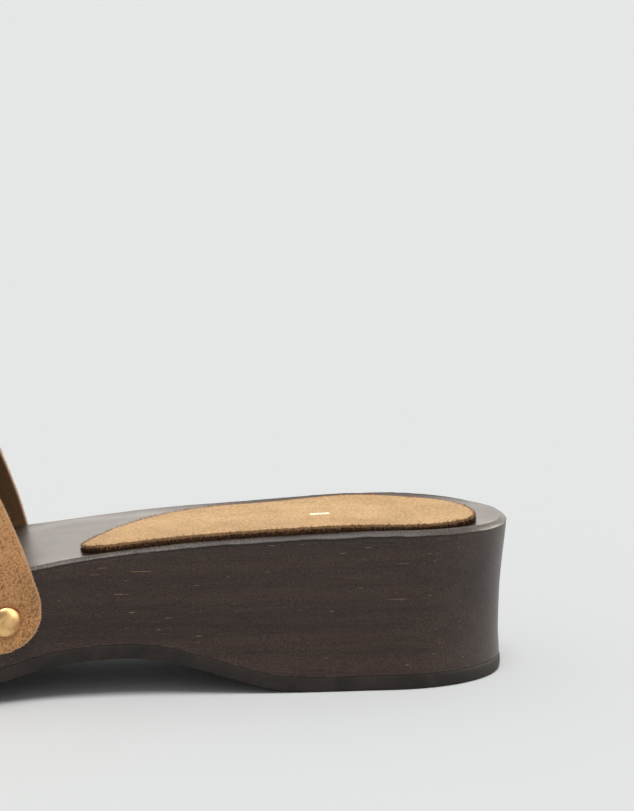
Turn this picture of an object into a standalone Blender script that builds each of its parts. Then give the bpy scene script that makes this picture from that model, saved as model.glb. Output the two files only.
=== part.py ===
"""A closed-toe wooden clog for a right foot, built from the separate pieces it is made of.

The carved wooden sole carries a one-piece rubber outsole below and a two-layer heel sock above.
A suede upper with a leather lining and a stiffening toe puff wraps the forefoot. A row of
dome-headed studs nails it to the side of the wood.

Lengths are in metres. Every shape is drawn in shoe stations: s is the distance from the back of the
heel towards the toe, y runs from the inner side of the foot (negative) to the outer side, and z is
up from the floor. The toe points along -X, and the last step puts the origin under the middle.
"""

import math

import bmesh
import bpy
import numpy as np
from mathutils import Matrix, Vector

# ---- Driving dimensions ----
SOLE_LENGTH = 0.252  # wooden sole, EU 38
HEEL_WIDTH = 0.062
BALL_WIDTH = 0.090
HEEL_HEIGHT = 0.0481  # floor to the outer edge of the rim at the heel
PLATFORM_HEIGHT = 0.0336  # floor to the outer edge of the rim at the ball
ARCH_RISE = 0.0117  # floor to the underside at the waist
TOE_SPRING = 0.0085  # floor to the underside at the toe tip
TOE_TO_INSIDE = 0.006  # how far the toe tip sits towards the inner side
WAIST_TO_OUTSIDE = 0.0015
OUTSOLE_THICKNESS = 0.0046
RIM_CHAMFER = 0.0011
SIDE_HOLLOW = 0.0023  # deepest inset of the side wall under the rim
FOOT_FLARE = 0.0004  # how far the wall comes back out at its foot
HEEL_CUP_DEPTH = 0.0024
BALL_HOLLOW_DEPTH = 0.0020

SOCK_BACK_MARGIN = 0.0110  # bare wood behind the heel sock
SOCK_TIP_MARGIN = 0.0125  # bare wood between the sock's tip and the upper's rear corner
SOCK_BASE_THICKNESS = 0.0013
SOCK_COVER_THICKNESS = 0.0007

VAMP_LENGTH = 0.1085  # toe tip back to the upper's rear corner
UPPER_CORNER_RADIUS = 0.0090
UPPER_EDGE_AT_REAR = 0.0184  # floor to the upper's lower edge at its rear corner
BARE_WOOD_UNDER_UPPER = 0.0080  # wood seen between the outsole and the upper from the ball on
THROAT_HEIGHT = 0.060  # rim to the lining at the middle of the opening
TOE_BOX_HEIGHT = 0.026  # rim to the lining above the toes
LINING_THICKNESS = 0.0009
SUEDE_THICKNESS = 0.0014
PUFF_THICKNESS = 0.0006
PUFF_LENGTH = 0.046  # toe tip back to the puff's rear edge
PUFF_FADE = 0.012  # length over which the suede steps out over the puff

STUD_HEAD_RADIUS = 0.00475
STUD_HEAD_HEIGHT = 0.0024
STUD_HEAD_EDGE = 0.0005  # upright edge of the head under its dome
STUD_SHANK_RADIUS = 0.0009
STUD_SHANK_LENGTH = 0.0125
STUD_POINT_LENGTH = 0.0025
STUD_TARGET_PITCH = 0.0215
STUD_FROM_REAR = 0.0110
STUD_ABOVE_EDGE = 0.0095

# ---- Clearances ----
FACE_GAP = 0.0003  # between faces that touch on the real clog
LASTING_GAP = 0.0006  # between the wood's side and the lining that curves round it
LAYER_GAP = 0.0004  # between the curved layers of the upper
STUD_SEAT_GAP = 0.0006  # under a stud's flat head, where the suede curves up to it
DRILL_GAP = 0.0004  # round each stud's shank
DRILL_OVERRUN = 0.0006  # past the point of the shank

# ---- Mesh fineness ----
SIDE_STEPS = 34
END_STEPS = 24
REAR_COLUMNS = 8
TOE_COLUMNS = 9
ARCH_ROWS = 11
STUD_SIDES = 12
DRILL_SIDES = 8
OUTLINE_SAMPLES = 600

# ---- Proportions: (share of the length, share of the size) ----
RIM_PROFILE = (
    (0.00, 0.90), (0.08, 0.98), (0.18, 1.00), (0.28, 0.95), (0.38, 0.85), (0.48, 0.68),
    (0.58, 0.45), (0.66, 0.24), (0.74, 0.06), (0.82, 0.00), (0.90, 0.06), (1.00, 0.24),
)
UNDERSIDE_PROFILE = (
    (0.000, 0.00), (0.235, 0.00), (0.285, 0.06), (0.33, 0.29), (0.38, 0.63), (0.43, 0.92),
    (0.475, 1.00), (0.51, 0.97), (0.547, 0.89), (0.62, 0.55), (0.68, 0.22), (0.72, 0.04), (0.75, 0.00),
)
TOE_SPRING_START = 0.85
WIDTH_PROFILE = (
    (0.00, 0.00), (0.45, 0.00), (0.53, 0.05), (0.60, 0.26), (0.66, 0.56), (0.72, 0.86),
    (0.765, 1.00), (1.00, 1.00),
)
CENTRE_PROFILE = ((0.0, 0.0), (0.30, 0.4), (0.47, 1.0), (0.60, 0.8), (0.72, 0.0), (1.0, 0.0))
TOE_SHIFT_PROFILE = ((0.0, 0.0), (0.66, 0.0), (0.85, 0.5), (1.0, 1.0))
HEEL_ROUND = 0.15  # shares of the length over which the ends close
TOE_ROUND = 0.245
TOE_FULLNESS = 2.25
HEEL_CUP_PROFILE = ((0.01, 0.0), (0.05, 0.55), (0.12, 0.95), (0.26, 1.0), (0.44, 0.25), (0.52, 0.0))
BALL_HOLLOW_PROFILE = ((0.52, 0.0), (0.72, 1.0), (0.80, 1.0), (0.96, 0.0))
CUP_SQUARENESS = 8

# Side wall, rim to foot: (share of the wall's height from the foot, share of SIDE_HOLLOW).
SIDE_PROFILE = ((0.0, 1.0), (0.12, 1.0), (0.28, 0.97), (0.50, 0.85), (0.72, 0.52), (0.88, 0.20), (1.0, 0.0))
FLARE_SHARE = 0.22  # share of the wall's height that flares
SIDE_LEVELS = (1.0, 0.86, 0.70, 0.50, 0.30, 0.18, 0.08, 0.0)

# Where the outline's sides meet its ends, as shares of the way round it from the heel.
HEEL_CORNER_SHARE = 0.045
TOE_CORNER_SHARE = 0.430

# Heel sock: (share of its length from the back, share of the half width).
SOCK_OUTLINE = (
    (0.00, -0.28), (0.017, -0.60), (0.05, -0.745), (0.12, -0.85), (0.24, -0.90), (0.40, -0.94), (0.58, -0.94),
    (0.78, -0.94), (0.90, -0.94), (0.97, -0.88), (1.00, -0.75), (0.97, -0.52), (0.90, -0.14), (0.79, 0.25),
    (0.66, 0.52), (0.53, 0.66), (0.40, 0.74), (0.28, 0.77), (0.17, 0.71), (0.075, 0.55), (0.018, 0.20),
)
SOCK_SIDE_STEPS = 40
SOCK_END_STEPS = 20
SOCK_SIDE_SHARES = (0.045, 0.435, 0.520, 0.945)  # where the sides and the ends meet, round its outline

# Rear edge of the upper: (height above the lower edge, setback from the rearmost point), in metres.
REAR_EDGE_PROFILE = (
    (0.009, 0.0), (0.0115, 0.0001), (0.0145, 0.0006), (0.0197, 0.0023), (0.0274, 0.0047), (0.0313, 0.0060),
    (0.035, 0.0074), (0.0446, 0.0112), (0.062, 0.0185), (0.084, 0.0290),
)
# Upper's ridge: share of the length, share of the way from the toe box's height to the throat's.
UPPER_RISE_PROFILE = (
    (0.56, 1.15), (0.62, 1.08), (0.68, 0.95), (0.74, 0.72), (0.80, 0.46), (0.85, 0.24), (1.0, -0.3),
)
TOE_FAN_START = 0.71  # share of the length where the upper's lines start to fan out round the toe
RIDGE_END = 0.85  # share of the length where the ridge ends in the round of the toe
UPPER_FULLNESS = 2.3
UPPER_PEAK_TO_INSIDE = 0.08  # share of the half width
LINING_EDGE_SHARE = 0.09  # shares of the skirt's height, its lower edge to the rim
PUFF_EDGE_SHARE = 0.80
SKIRT_SHARES = (0.0, LINING_EDGE_SHARE, 0.22, 0.39, 0.60, PUFF_EDGE_SHARE, 1.0)

COLOURS = {
    "stained_wood": ((0.045, 0.034, 0.031, 1.0), 0.42, 0.0),
    "outsole_rubber": ((0.030, 0.026, 0.024, 1.0), 0.60, 0.0),
    "sock_board": ((0.075, 0.038, 0.022, 1.0), 0.95, 0.0),
    "sock_suede": ((0.72, 0.45, 0.24, 1.0), 0.95, 0.0),
    "upper_suede": ((0.34, 0.17, 0.07, 1.0), 0.95, 0.0),
    "lining_leather": ((0.20, 0.11, 0.05, 1.0), 0.55, 0.0),
    "puff_board": ((0.55, 0.50, 0.42, 1.0), 0.80, 0.0),
    "stud_brass": ((0.62, 0.42, 0.20, 1.0), 0.38, 1.0),
}


UPPER_REAR_STATION = SOLE_LENGTH - VAMP_LENGTH
PUFF_REAR_STATION = SOLE_LENGTH - PUFF_LENGTH
SOCK_TIP_STATION = UPPER_REAR_STATION - SOCK_TIP_MARGIN


# ---- Curves ----
def smooth_curve(knots):
    """A curve through (place, value) knots that never overshoots them, and stays flat between equals."""
    x, v = np.array(knots, float).T
    rise = np.diff(v) / np.diff(x)
    slope = np.zeros_like(v)
    same_way = rise[:-1] * rise[1:] > 0
    slope[1:-1][same_way] = 2 * rise[:-1][same_way] * rise[1:][same_way] / (rise[:-1] + rise[1:])[same_way]
    slope[0], slope[-1] = rise[0], rise[-1]

    def value(at):
        at = np.clip(np.asarray(at, float), x[0], x[-1])
        i = np.clip(np.searchsorted(x, at, side="right") - 1, 0, len(x) - 2)
        width = x[i + 1] - x[i]
        t = (at - x[i]) / width
        return (
            v[i] * (1 + 2 * t) * (1 - t) ** 2
            + v[i + 1] * t * t * (3 - 2 * t)
            + width * (slope[i] * t * (1 - t) ** 2 - slope[i + 1] * t * t * (1 - t))
        )

    return value


def smoothstep(start, end, at):
    t = np.clip((np.asarray(at, float) - start) / (end - start), 0, 1)
    return t * t * (3 - 2 * t)


def rounded_end(share, fullness=2.0):
    """1 well inside a shape, falling to 0 as share goes from 0 to 1, like a superellipse's end."""
    return (1 - np.clip(share, 0, 1) ** fullness) ** (1 / fullness)


rim_share = smooth_curve(RIM_PROFILE)
arch_share = smooth_curve(UNDERSIDE_PROFILE)
width_share = smooth_curve(WIDTH_PROFILE)
centre_share = smooth_curve(CENTRE_PROFILE)
toe_shift_share = smooth_curve(TOE_SHIFT_PROFILE)
heel_cup_share = smooth_curve(HEEL_CUP_PROFILE)
ball_hollow_share = smooth_curve(BALL_HOLLOW_PROFILE)
side_share = smooth_curve(SIDE_PROFILE)
rear_setback = smooth_curve(REAR_EDGE_PROFILE)
upper_rise_share = smooth_curve(UPPER_RISE_PROFILE)


# ---- The sole's surfaces ----
def rim_height(s):
    return PLATFORM_HEIGHT + (HEEL_HEIGHT - PLATFORM_HEIGHT) * rim_share(s / SOLE_LENGTH)


def underside_height(s):
    share = np.clip(np.asarray(s, float) / SOLE_LENGTH, 0, 1)
    spring = np.clip((share - TOE_SPRING_START) / (1 - TOE_SPRING_START), 0, 1) ** 2
    return ARCH_RISE * arch_share(share) + TOE_SPRING * spring


def wood_foot_height(s):
    return underside_height(s) + OUTSOLE_THICKNESS + FACE_GAP


def centre_line(s):
    share = s / SOLE_LENGTH
    return WAIST_TO_OUTSIDE * centre_share(share) - TOE_TO_INSIDE * toe_shift_share(share)


def half_width(s):
    """Half the rim's width at each station, 0 at both ends."""
    share = s / SOLE_LENGTH
    heel = rounded_end((HEEL_ROUND - share) / HEEL_ROUND)
    toe = rounded_end((share - 1 + TOE_ROUND) / TOE_ROUND, TOE_FULLNESS)
    full = HEEL_WIDTH + (BALL_WIDTH - HEEL_WIDTH) * width_share(share)
    return full / 2 * heel * toe


def outline_side(side):
    """The rim's outline on one side, heel to toe, with its outward normals. side is -1 inner, 1 outer."""
    s = SOLE_LENGTH * (1 - np.cos(np.linspace(0, math.pi, OUTLINE_SAMPLES))) / 2
    points = np.stack([s, centre_line(s) + side * half_width(s)], 1)
    along = np.gradient(points, axis=0)
    along[0], along[-1] = (0, side), (0, -side)
    normals = np.stack([-along[:, 1], along[:, 0]], 1) * side
    return points, normals / np.linalg.norm(normals, axis=1)[:, None]


OUTLINE = {side: outline_side(side) for side in (-1, 1)}


def side_inset(wall_share):
    """How far the wooden wall stands in from the rim, by its share of the height from the foot."""
    flare = FOOT_FLARE * (1 - smoothstep(0, FLARE_SHARE, wall_share))
    return SIDE_HOLLOW * side_share(wall_share) - flare


def offset_side(side, offset):
    """The outline on one side moved outwards. offset is a number or a function of the station."""
    points, normals = OUTLINE[side]
    distance = offset(points[:, 0]) if callable(offset) else offset
    return points + normals * np.reshape(distance, (-1, 1))


def footbed_height(s, y):
    """The wood's top face: level across at the rim, with a heel cup and a hollow under the ball."""
    share = s / SOLE_LENGTH
    depth = HEEL_CUP_DEPTH * heel_cup_share(share) + BALL_HOLLOW_DEPTH * ball_hollow_share(share)
    half = np.maximum(half_width(s) - RIM_CHAMFER, RIM_CHAMFER)
    across = np.clip(np.abs(y - centre_line(s)) / half, 0, 1)
    return rim_height(s) + RIM_CHAMFER - depth * (1 - across**CUP_SQUARENESS)


# ---- Closed loops and the blocks lofted from them ----
def along_line(points, shares):
    """Points at shares of a polyline's length."""
    step = np.linalg.norm(np.diff(points, axis=0), axis=1)
    run = np.concatenate([[0], np.cumsum(step)]) / step.sum()
    return np.stack([np.interp(shares, run, points[:, k]) for k in range(points.shape[1])], 1)


def outline_loop(offset):
    """The sole's outline as a loop of corner, inner side, toe, outer side and heel points."""
    inner, outer = offset_side(-1, offset), offset_side(1, offset)
    ring = np.concatenate([inner, outer[-2:0:-1], inner[:1]])
    corners = [HEEL_CORNER_SHARE, TOE_CORNER_SHARE, 1 - TOE_CORNER_SHARE, 1 - HEEL_CORNER_SHARE]
    return ring_loop(ring, corners, SIDE_STEPS, END_STEPS)


def ring_loop(ring, corners, side_steps, end_steps):
    """Points round a closed ring, evenly spaced between four corners given as shares of its length."""
    a, b, c, d = corners
    shares = np.concatenate(
        [
            np.linspace(a, b, side_steps, endpoint=False),
            np.linspace(b, c, end_steps, endpoint=False),
            np.linspace(c, d, side_steps, endpoint=False),
            np.linspace(d, 1 + a, end_steps, endpoint=False),
        ]
    )
    return along_line(ring, shares % 1)


def coons_grid(loop, side_steps, end_steps):
    """Fills a loop of four sides with a grid of points."""
    near = loop[: side_steps + 1]
    toe = loop[side_steps : side_steps + end_steps + 1]
    far = loop[side_steps + end_steps : 2 * side_steps + end_steps + 1][::-1]
    heel = np.concatenate([loop[2 * side_steps + end_steps :], loop[:1]])[::-1]
    u = np.linspace(0, 1, side_steps + 1)[:, None, None]
    v = np.linspace(0, 1, end_steps + 1)[None, :, None]
    ruled_along = near[:, None] * (1 - v) + far[:, None] * v
    ruled_across = heel[None] * (1 - u) + toe[None] * u
    corners = (
        (near[0] * (1 - v) + far[0] * v) * (1 - u) + (near[-1] * (1 - v) + far[-1] * v) * u
    )
    return ruled_along + ruled_across - corners


def lofted_block(name, loops, top_height, foot_height, side_steps, end_steps):
    """A closed block: loops of (s, y) points with heights, top to foot, between two filled faces."""
    mesh = bmesh.new()
    count = len(loops[0][0])
    rings = []
    for points, height in loops:
        z = height(points[:, 0], points[:, 1])
        rings.append([mesh.verts.new((-s, y, h)) for (s, y), h in zip(points, z)])
    for upper, lower in zip(rings[:-1], rings[1:]):
        for i in range(count):
            j = (i + 1) % count
            mesh.faces.new((upper[i], upper[j], lower[j], lower[i]))
    fill_face(mesh, rings[0], loops[0][0], top_height, side_steps, end_steps)
    fill_face(mesh, rings[-1], loops[-1][0], foot_height, side_steps, end_steps)
    return finished_object(name, mesh)


def fill_face(mesh, ring, points, height, side_steps, end_steps):
    """Fills a ring of vertices with a grid whose inner points lie on height(s, y)."""
    grid = coons_grid(points, side_steps, end_steps)
    z = height(grid[..., 0], grid[..., 1])
    verts = [[None] * (end_steps + 1) for _ in range(side_steps + 1)]
    for i in range(side_steps + 1):
        verts[i][0] = ring[i]
        verts[i][end_steps] = ring[(2 * side_steps + end_steps - i) % len(ring)]
    for j in range(end_steps + 1):
        verts[side_steps][j] = ring[side_steps + j]
        verts[0][j] = ring[(2 * side_steps + 2 * end_steps - j) % len(ring)]
    for i in range(1, side_steps):
        for j in range(1, end_steps):
            s, y = grid[i, j]
            verts[i][j] = mesh.verts.new((-s, y, z[i, j]))
    for i in range(side_steps):
        for j in range(end_steps):
            mesh.faces.new((verts[i][j], verts[i + 1][j], verts[i + 1][j + 1], verts[i][j + 1]))


# ---- Objects and materials ----
def finished_object(name, mesh):
    """Turns a bmesh into a smooth-shaded object that hangs from the clog's own frame."""
    bmesh.ops.remove_doubles(mesh, verts=mesh.verts, dist=1e-6)
    bmesh.ops.recalc_face_normals(mesh, faces=mesh.faces)
    data = bpy.data.meshes.new(name)
    mesh.to_mesh(data)
    mesh.free()
    data.shade_smooth()
    data.set_sharp_from_angle(angle=math.radians(35))
    return linked_object(name, data)


def linked_object(name, data):
    made = bpy.data.objects.new(name, data)
    bpy.context.scene.collection.objects.link(made)
    made.parent = bpy.data.objects["clog_frame"]
    return made


def material(name):
    """A plain Principled material in the finish's colour, made once."""
    found = bpy.data.materials.get(name)
    if found:
        return found
    colour, roughness, metallic = COLOURS[name]
    made = bpy.data.materials.new(name)
    made.use_nodes = True
    shader = made.node_tree.nodes["Principled BSDF"]
    shader.inputs["Base Color"].default_value = colour
    shader.inputs["Roughness"].default_value = roughness
    shader.inputs["Metallic"].default_value = metallic
    made.diffuse_color = colour
    return made


def dress(made, finish):
    if not made.data.materials:
        made.data.materials.append(material(finish))


# ---- Wooden sole and outsole ----
def wall_height(share):
    """The height, at each station, of a loop at this share of the wooden wall."""

    def height(s, _y):
        foot = wood_foot_height(s)
        return foot + (rim_height(s) - foot) * share

    return height


def make_wooden_sole():
    chamfer_loop = (outline_loop(-RIM_CHAMFER), lambda s, _y: rim_height(s) + RIM_CHAMFER)
    wall = [(outline_loop(-side_inset(share)), wall_height(share)) for share in SIDE_LEVELS]
    sole = lofted_block(
        "wooden_sole",
        [chamfer_loop, *wall],
        footbed_height,
        lambda s, _y: wood_foot_height(s),
        SIDE_STEPS,
        END_STEPS,
    )
    dress(sole, "stained_wood")
    return sole


def make_outsole():
    outline = outline_loop(-side_inset(0.0))
    outsole = lofted_block(
        "rubber_outsole",
        [
            (outline, lambda s, _y: underside_height(s) + OUTSOLE_THICKNESS),
            (outline, lambda s, _y: underside_height(s)),
        ],
        lambda s, _y: underside_height(s) + OUTSOLE_THICKNESS,
        lambda s, _y: underside_height(s),
        SIDE_STEPS,
        END_STEPS,
    )
    dress(outsole, "outsole_rubber")


# ---- Heel sock ----
def sock_loop():
    """The heel sock's outline: it follows the sole's width, and its tip runs along the inner side."""
    share, across = np.array(SOCK_OUTLINE).T
    s = SOCK_BACK_MARGIN + (SOCK_TIP_STATION - SOCK_BACK_MARGIN) * share
    knots = np.stack([s, centre_line(s) + across * np.maximum(half_width(s), HEEL_WIDTH / 2 * 0.8)], 1)
    ring = closed_spline(knots, steps=12)
    return ring_loop(ring, SOCK_SIDE_SHARES, SOCK_SIDE_STEPS, SOCK_END_STEPS)


def closed_spline(knots, steps):
    """A smooth closed curve through the knots, as a polyline that ends where it starts."""
    t = np.linspace(0, 1, steps, endpoint=False)[:, None]
    pieces = []
    for i in range(len(knots)):
        a, b, c, d = (knots[(i + k) % len(knots)] for k in (-1, 0, 1, 2))
        square, cube = a - 2.5 * b + 2 * c - d / 2, 1.5 * (b - c) + (d - a) / 2
        pieces.append(b + t * (c - a) / 2 + t**2 * square + t**3 * cube)
    return np.concatenate([*pieces, pieces[0][:1]])


def make_sock_layer(name, finish, lift, thickness):
    """One layer of the heel sock, which follows the footbed at a height of lift."""
    loop = sock_loop()

    def foot(s, y):
        return footbed_height(s, y) + lift

    def top(s, y):
        return footbed_height(s, y) + lift + thickness

    loops = [(loop, top), (loop, foot)]
    layer = lofted_block(name, loops, top, foot, SOCK_SIDE_STEPS, SOCK_END_STEPS)
    dress(layer, finish)


# ---- Upper ----
LINING_OUTER = LINING_THICKNESS
PUFF_INNER = LINING_OUTER + LAYER_GAP
PUFF_OUTER = PUFF_INNER + PUFF_THICKNESS


def upper_edge_height(s):
    """The upper's lower edge: it runs down from the rear corner, then stays above the outsole."""
    low = underside_height(s) + OUTSOLE_THICKNESS + BARE_WOOD_UNDER_UPPER
    low_at_rear = underside_height(UPPER_REAR_STATION) + OUTSOLE_THICKNESS + BARE_WOOD_UNDER_UPPER
    ball = SOLE_LENGTH * (1 - TOE_ROUND)
    return low + (UPPER_EDGE_AT_REAR - low_at_rear) * (1 - smoothstep(UPPER_REAR_STATION, ball, s))


def ridge_station(s):
    """The ridge's station over a rim point: level with it, until the lines fan out round the toe."""
    fan, end = SOLE_LENGTH * TOE_FAN_START, SOLE_LENGTH * RIDGE_END
    power = (SOLE_LENGTH - fan) / (end - fan)
    share = np.clip((s - fan) / (SOLE_LENGTH - fan), 0, 1)
    return np.where(s < fan, s, fan + (end - fan) * (1 - (1 - share) ** power))


def ridge_height(s):
    rise = TOE_BOX_HEIGHT + (THROAT_HEIGHT - TOE_BOX_HEIGHT) * upper_rise_share(s / SOLE_LENGTH)
    return rim_height(s) + rise


def ridge_slope(s):
    step = 0.001
    return (ridge_height(s + step) - ridge_height(s - step)) / (2 * step)


def wall_share_at(s, height):
    """How far up the wooden wall a height is, from 0 at its foot to 1 at the rim."""
    foot = wood_foot_height(s)
    return (height - foot) / (rim_height(s) - foot)


def form_points(side, s, skirt_share, angle):
    """Points of the surface that the upper is lasted to, at stations s on one side.

    skirt_share runs from 0 at the upper's lower edge to 1 at the rim. angle runs on from there,
    from 0 at the rim to a right angle at the ridge.
    """
    points, normals = OUTLINE[side]
    low = upper_edge_height(s)
    height = low + (rim_height(s) - low) * skirt_share
    offset = LASTING_GAP - side_inset(wall_share_at(s, height))
    wall_s, wall_y = (
        np.interp(s, points[:, 0], points[:, k]) + np.interp(s, points[:, 0], normals[:, k]) * offset
        for k in (0, 1)
    )
    ridge_s = ridge_station(s)
    ridge_y = centre_line(ridge_s) - UPPER_PEAK_TO_INSIDE * half_width(ridge_s)
    reach = max(math.cos(angle), 0.0) ** (2 / UPPER_FULLNESS)
    lift = math.sin(angle) ** (2 / UPPER_FULLNESS)
    run = wall_s - ridge_s
    fall = ridge_slope(ridge_s) * run * reach * (1 - reach)  # carries the ridge's slope into the toe
    top = height + (ridge_height(ridge_s) - height) * lift + fall
    return np.stack([ridge_s + run * reach, ridge_y + (wall_y - ridge_y) * reach, top], 1)


def rear_station(skirt_share, angle):
    """Where the upper's rear edge stands at one level, with its round lower corner."""
    middle = np.array([UPPER_REAR_STATION])
    height = float(form_points(-1, middle, skirt_share, angle)[0, 2] - upper_edge_height(middle)[0])
    into_corner = max(UPPER_CORNER_RADIUS - height, 0.0)
    corner = UPPER_CORNER_RADIUS - math.sqrt(UPPER_CORNER_RADIUS**2 - into_corner**2)
    return UPPER_REAR_STATION + corner + float(rear_setback(height))


def contour(skirt_share, angle):
    """One level of the form, inner rear edge round the toe to outer rear edge, with its stations."""
    start = rear_station(skirt_share, angle)
    rear = np.linspace(start, PUFF_REAR_STATION, REAR_COLUMNS, endpoint=False)
    toe = SOLE_LENGTH - (SOLE_LENGTH - PUFF_REAR_STATION) * (1 - np.linspace(0, 1, TOE_COLUMNS + 1)) ** 2
    s = np.concatenate([rear, toe])
    inner, outer = (form_points(side, s, skirt_share, angle) for side in (-1, 1))
    return np.concatenate([inner, outer[-2::-1]]), np.concatenate([s, s[-2::-1]])


class UpperForm:
    """The lasted surface as a grid of faces, from which every layer of the upper is offset."""

    def __init__(self):
        arch = np.linspace(0, math.pi / 2, ARCH_ROWS + 1)[1:]
        levels = [(share, 0.0) for share in SKIRT_SHARES] + [(1.0, angle) for angle in arch]
        contours = [contour(*level) for level in levels]
        self.columns = len(contours[0][1])
        self.stations = np.array([stations for _, stations in contours]).ravel()
        self.points = np.array([points for points, _ in contours]).reshape(-1, 3)
        self.rows = len(levels)
        self.faces = []
        for row in range(self.rows - 1):
            for column in range(self.columns - 1):
                corners = [(row, column), (row, column + 1), (row + 1, column + 1), (row + 1, column)]
                self.faces.append((row, column, [self.index(*corner) for corner in corners]))
        self.normals = self.vertex_normals()

    def index(self, row, column):
        """A grid place's number. The two sides share the ridge, which is the last row."""
        if row == self.rows - 1:
            column = min(column, self.columns - 1 - column)
        return row * self.columns + column

    def vertex_normals(self):
        total = np.zeros_like(self.points)
        for _, _, corners in self.faces:
            a, b, c, d = self.points[corners]
            normal = np.cross(c - a, d - b)
            for corner in corners:
                total[corner] += normal
        length = np.linalg.norm(total, axis=1)
        total /= np.maximum(length, 1e-12)[:, None]
        outward = np.sign(total[self.columns // 2, 0])  # the tip of the lowest row faces the toe
        return total * outward

    def layer(self, name, finish, inner, outer, lowest_row=0, toe_only=False):
        """A closed shell between two distances off the form. outer and inner take the stations."""
        first, last = (REAR_COLUMNS, self.columns - 2 - REAR_COLUMNS) if toe_only else (0, self.columns)
        kept = [
            corners
            for row, column, corners in self.faces
            if row >= lowest_row and first <= column <= last
        ]
        mesh = bmesh.new()
        near, far = (self.offset_verts(mesh, kept, distance) for distance in (inner, outer))
        sides = {}
        for corners in kept:
            mesh.faces.new([near[i] for i in corners])
            mesh.faces.new([far[i] for i in reversed(corners)])
            for edge in zip(corners, corners[1:] + corners[:1]):
                if sides.pop(edge[::-1], None) is None:
                    sides[edge] = True
        for i, j in sides:
            mesh.faces.new((near[j], near[i], far[i], far[j]))
        made = finished_object(name, mesh)
        dress(made, finish)
        return made

    def offset_verts(self, mesh, kept, distance):
        used = sorted({i for corners in kept for i in corners})
        verts = {}
        for i in used:
            s, y, z = self.points[i] + self.normals[i] * distance(self.stations[i])
            verts[i] = mesh.verts.new((-s, y, z))
        return verts


def suede_inner(s):
    """The suede steps out off the lining to take the toe puff."""
    step = smoothstep(PUFF_REAR_STATION - 2 * PUFF_FADE, PUFF_REAR_STATION - PUFF_FADE, s)
    return LINING_OUTER + LAYER_GAP + (PUFF_THICKNESS + LAYER_GAP) * step


def suede_outer(s):
    return suede_inner(s) + SUEDE_THICKNESS


def make_upper():
    form = UpperForm()
    lining = form.layer(
        "upper_lining",
        "lining_leather",
        lambda s: 0.0,
        lambda s: LINING_OUTER,
        lowest_row=SKIRT_SHARES.index(LINING_EDGE_SHARE),
    )
    suede = form.layer("upper_suede", "upper_suede", suede_inner, suede_outer)
    form.layer(
        "toe_puff",
        "puff_board",
        lambda s: PUFF_INNER,
        lambda s: PUFF_OUTER,
        lowest_row=SKIRT_SHARES.index(PUFF_EDGE_SHARE),
        toe_only=True,
    )
    return lining, suede


# ---- Studs ----
def stud_line():
    """Points at the studs' height along the suede, inner rear round the toe to outer rear."""

    def offset(s):
        height = upper_edge_height(s) + STUD_ABOVE_EDGE
        return LASTING_GAP + suede_outer(s) - side_inset(wall_share_at(s, height))

    inner, outer = offset_side(-1, offset), offset_side(1, offset)
    start = UPPER_REAR_STATION + STUD_FROM_REAR
    ring = np.concatenate([inner[inner[:, 0] >= start], outer[outer[:, 0] >= start][-2::-1]])
    return ring


def stud_places():
    """(position, outward direction) of each stud's head, evenly spaced along the suede."""
    ring = stud_line()
    length = np.linalg.norm(np.diff(ring, axis=0), axis=1).sum()
    count = round(length / STUD_TARGET_PITCH) + 1
    shares = np.linspace(0, 1, count)
    step = 0.002 / length
    points = along_line(ring, shares)
    ahead = along_line(ring, np.clip(shares + step, 0, 1))
    behind = along_line(ring, np.clip(shares - step, 0, 1))
    places = []
    for (s, y), (ds, dy) in zip(points, ahead - behind):
        here = min(s, SOLE_LENGTH)
        z = float(upper_edge_height(here)) + STUD_ABOVE_EDGE
        below, above = z - STUD_HEAD_RADIUS, z + STUD_HEAD_RADIUS
        insets = [float(side_inset(wall_share_at(here, height))) for height in (below, above)]
        lean = (insets[0] - insets[1]) / (above - below)
        outward = Vector((-dy, -ds, 0)).normalized()
        outward.z = -lean
        places.append((Vector((-s, y, z)), outward.normalized()))
    return places


def stud_mesh():
    """A dome-headed nail along +Z: its head stands STUD_SEAT_GAP off the suede, and the point is below."""
    dome = STUD_HEAD_HEIGHT - STUD_HEAD_EDGE
    sphere = (STUD_HEAD_RADIUS**2 + dome**2) / (2 * dome)
    widest = math.asin(STUD_HEAD_RADIUS / sphere)
    crown = [
        (sphere * math.sin(a), STUD_SEAT_GAP + STUD_HEAD_HEIGHT - sphere * (1 - math.cos(a)))
        for a in np.linspace(0, widest, 6)
    ]
    profile = [
        *crown,
        (STUD_HEAD_RADIUS, STUD_SEAT_GAP),
        (STUD_SHANK_RADIUS, STUD_SEAT_GAP),
        (STUD_SHANK_RADIUS, STUD_POINT_LENGTH - STUD_SHANK_LENGTH),
        (0.0, -STUD_SHANK_LENGTH),
    ]
    mesh = bmesh.new()
    line = [mesh.verts.new((r, 0, z)) for r, z in profile]
    edges = [mesh.edges.new(pair) for pair in zip(line[:-1], line[1:])]
    bmesh.ops.spin(
        mesh,
        geom=line + edges,
        axis=(0, 0, 1),
        cent=(0, 0, 0),
        steps=STUD_SIDES,
        angle=2 * math.pi,
        use_merge=True,
    )
    bmesh.ops.remove_doubles(mesh, verts=mesh.verts, dist=1e-6)
    bmesh.ops.recalc_face_normals(mesh, faces=mesh.faces)
    data = bpy.data.meshes.new("stud")
    mesh.to_mesh(data)
    mesh.free()
    data.shade_smooth()
    data.set_sharp_from_angle(angle=math.radians(50))
    return data


def make_studs(places):
    data = stud_mesh()
    for number, (position, outward) in enumerate(places, 1):
        stud = linked_object(f"stud_{number:02d}", data)
        turn = outward.to_track_quat("Z", "Y").to_matrix().to_4x4()
        stud.matrix_local = Matrix.Translation(position) @ turn
        dress(stud, "stud_brass")


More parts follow.
